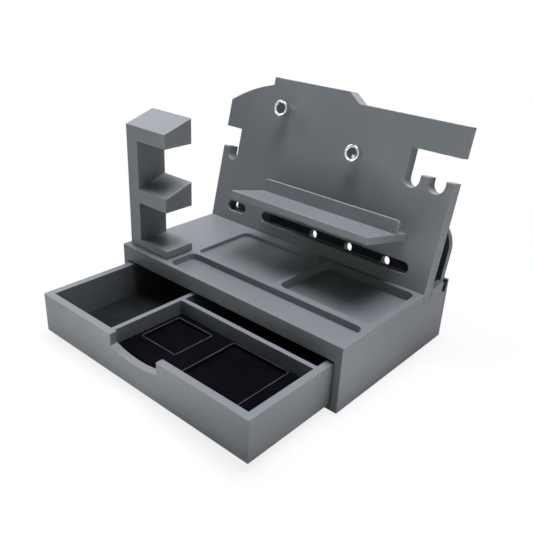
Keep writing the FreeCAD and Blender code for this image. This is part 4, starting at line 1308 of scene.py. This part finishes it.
@dataclass
class Studio:
    """A plain pale floor, soft lights above and beside the object, and washes on the floor."""

    floor_half: float = 8.0
    shown_tone: float = 0.92
    bounce_tone: float = 0.40
    floor_lift: float = 0.84
    white_from: float = 0.35
    white_beyond: float = 0.75
    air: Colour = (0.006, 0.0065, 0.0075)
    flag_towards: Spot = (-0.59, -0.79, 0.16)
    flag_inner: float = math.radians(16.0)
    flag_outer: float = math.radians(34.0)
    flag_tone: Colour = (0.09, 0.094, 0.10)
    middle: Spot = (0.0, 0.0, 0.1)
    softs: tuple[SoftLamp, ...] = (
        SoftLamp("overhead_light", (0.1, 0.1, 1.4), (0.7, 0.7), power=21.5,
                 tone=(0.93, 0.877, 1.0)),
        SoftLamp("left_light", (-1.2, -0.15, 1.1), (1.0, 0.8), power=11.0, tone=(0.95, 0.93, 1.0)),
        SoftLamp("low_right_light", (1.2, 0.0, 0.34), (0.8, 0.5), power=0.9),
        SoftLamp("low_front_light", (-0.25, -1.3, 0.20), (0.9, 0.3), power=0.8),
        SoftLamp("low_back_light", (-0.3, 1.3, 0.35), (0.9, 0.5), power=4.5),
    )
    wash_radius: float = 0.12
    washes: tuple[WashLamp, ...] = (
        WashLamp("front_wash", (-0.05, -0.625), height=0.9, cone=42.0, power=312.0),
        WashLamp("right_wash", (0.56, -0.14), height=0.9, cone=40.0, power=266.0),
    )

    def shown(self, sheet: ShaderSheet) -> tuple[Wire, Wire]:
        """Tell rays that show the background from those that carry light.

        Args:
            sheet: The sheet to draw on.

        Returns:
            1 for a camera ray, and 1 for a glossy or transmission ray.
        """
        path = sheet.node("ShaderNodeLightPath")
        camera, glossy, through = [Wire(sheet, path.outputs["Is %s Ray" % name])
                                   for name in ("Camera", "Glossy", "Transmission")]
        return camera, glossy.at_least(through)

    def world(self) -> None:
        """Light the air dimly and show it white, with a dark flag that only reflections show."""
        world = bpy.data.worlds.new("studio_air")
        world.use_nodes = True
        bpy.context.scene.world = world
        sheet = ShaderSheet(world.node_tree)
        camera, mirrored = self.shown(sheet)
        near = sheet.along(sheet.wire("ShaderNodeTexCoord", output="Generated"), self.flag_towards)
        flag = near.rise(math.cos(self.flag_outer), math.cos(self.flag_inner))
        tone = sheet.blend(flag * mirrored, WHITE, self.flag_tone)
        tone = sheet.blend(camera.at_least(mirrored), self.air, tone)
        shader = sheet.wire("ShaderNodeBackground", None, {"Color": tone, "Strength": 1.0})
        sheet.node("ShaderNodeOutputWorld", None, {"Surface": shader})

    def floor(self, height: float) -> None:
        """Lay the floor.

        Args:
            height: The height that the object stands at.
        """
        shape = bmesh.new()
        half = self.floor_half
        corners = [(-half, -half), (half, -half), (half, half), (-half, half)]
        shape.faces.new([shape.verts.new((x, y, height)) for x, y in corners])
        floor = finished("studio_floor", shape, smooth=False)
        material, sheet = new_sheet("floor_paper")
        away = sheet.wire("ShaderNodeVectorMath", {"operation": "LENGTH"}, {0: sheet.place()},
                          "Value")
        lift = self.floor_lift + (1.0 - self.floor_lift) * away.rise(self.white_from,
                                                                     self.white_beyond)
        camera, mirrored = self.shown(sheet)
        tone = sheet.blend(camera.at_least(mirrored), (self.bounce_tone,) * 3,
                           (self.shown_tone,) * 3)
        paper = sheet.wire("ShaderNodeBsdfDiffuse", None, {"Color": tone})
        glow = sheet.wire("ShaderNodeEmission", None, {"Color": (*WHITE, 1.0), "Strength": 1.0})
        mixed = sheet.wire("ShaderNodeMixShader", None, {0: camera * lift, 1: paper, 2: glow})
        sheet.node("ShaderNodeOutputMaterial", None, {"Surface": mixed})
        floor.data.materials.append(material)
        floor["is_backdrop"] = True

    def hang(self, data: bpy.types.Light, place: Sequence[float], towards: Sequence[float]) -> None:
        """Hang a light where the camera doesn't see it.

        Args:
            data: The light.
            place: Where it hangs.
            towards: The point that it faces.
        """
        lamp = bpy.data.objects.new(data.name, data)
        lamp.location = place
        lamp.rotation_euler = (Vector(towards) - Vector(place)).to_track_quat("-Z", "Y").to_euler()
        lamp.visible_camera = False
        bpy.context.scene.collection.objects.link(lamp)

    def lamps(self) -> None:
        """Hang the soft lights and the lamps that wash the floor."""
        for soft in self.softs:
            panel = bpy.data.lights.new(soft.name, "AREA")
            panel.shape = "RECTANGLE"
            panel.size, panel.size_y = soft.size
            panel.energy = soft.power
            panel.color = soft.tone
            self.hang(panel, soft.place, self.middle)
        for wash in self.washes:
            spot = bpy.data.lights.new(wash.name, "SPOT")
            spot.energy = wash.power
            spot.spot_size = math.radians(wash.cone)
            spot.spot_blend = 1.0
            spot.shadow_soft_size = self.wash_radius
            self.hang(spot, (*wash.over, wash.height), (*wash.over, 0.0))

    def build(self, floor_height: float) -> None:
        """Set the studio up.

        Args:
            floor_height: The height that the object stands at.
        """
        self.world()
        self.floor(floor_height)
        self.lamps()
        bpy.context.scene.view_settings.view_transform = "Standard"
        log.info("set the studio up")


@dataclass
class Viewpoint:
    """The camera: where it stands, how it looks down on the box, and its lens."""

    place: Spot = (0.46714, -0.57675, 0.42798)
    round_angle: float = 40.386
    down_angle: float = 25.717
    roll: float = 2.746
    lens_pixels: float = 651.76
    frame_pixels: float = 533.0
    sensor: float = 36.0
    nearest: float = 0.01

    def build(self) -> None:
        """Make the camera and give it to the scene."""
        turn = Matrix.Translation(self.place)
        angles = (self.round_angle, 90.0 - self.down_angle, self.roll)
        for angle, axis in zip(angles, "ZXZ"):
            turn = turn @ Matrix.Rotation(math.radians(angle), 4, axis)
        data = bpy.data.cameras.new("studio_camera")
        data.sensor_width = self.sensor
        data.lens = self.sensor * self.lens_pixels / self.frame_pixels
        data.clip_start = self.nearest
        camera = bpy.data.objects.new("studio_camera", data)
        camera.matrix_world = turn
        bpy.context.scene.collection.objects.link(camera)
        bpy.context.scene.camera = camera
        log.info("made the camera")


def main() -> None:
    """Build the studio and every sub-assembly in order, with the floor at the lowest point of the
    frame.
    """
    logging.basicConfig(level=logging.INFO, format="%(name)s: %(message)s")
    cad_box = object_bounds()
    wardrobe = Wardrobe()
    Viewpoint().build()
    Studio().build(cad_box[0].z)
    for part in (Carcass(wardrobe), Drawer(wardrobe), DisplayPanel(wardrobe), WatchStand(wardrobe)):
        part.dress()
        part.build()


if __name__ == "__main__":
    main()
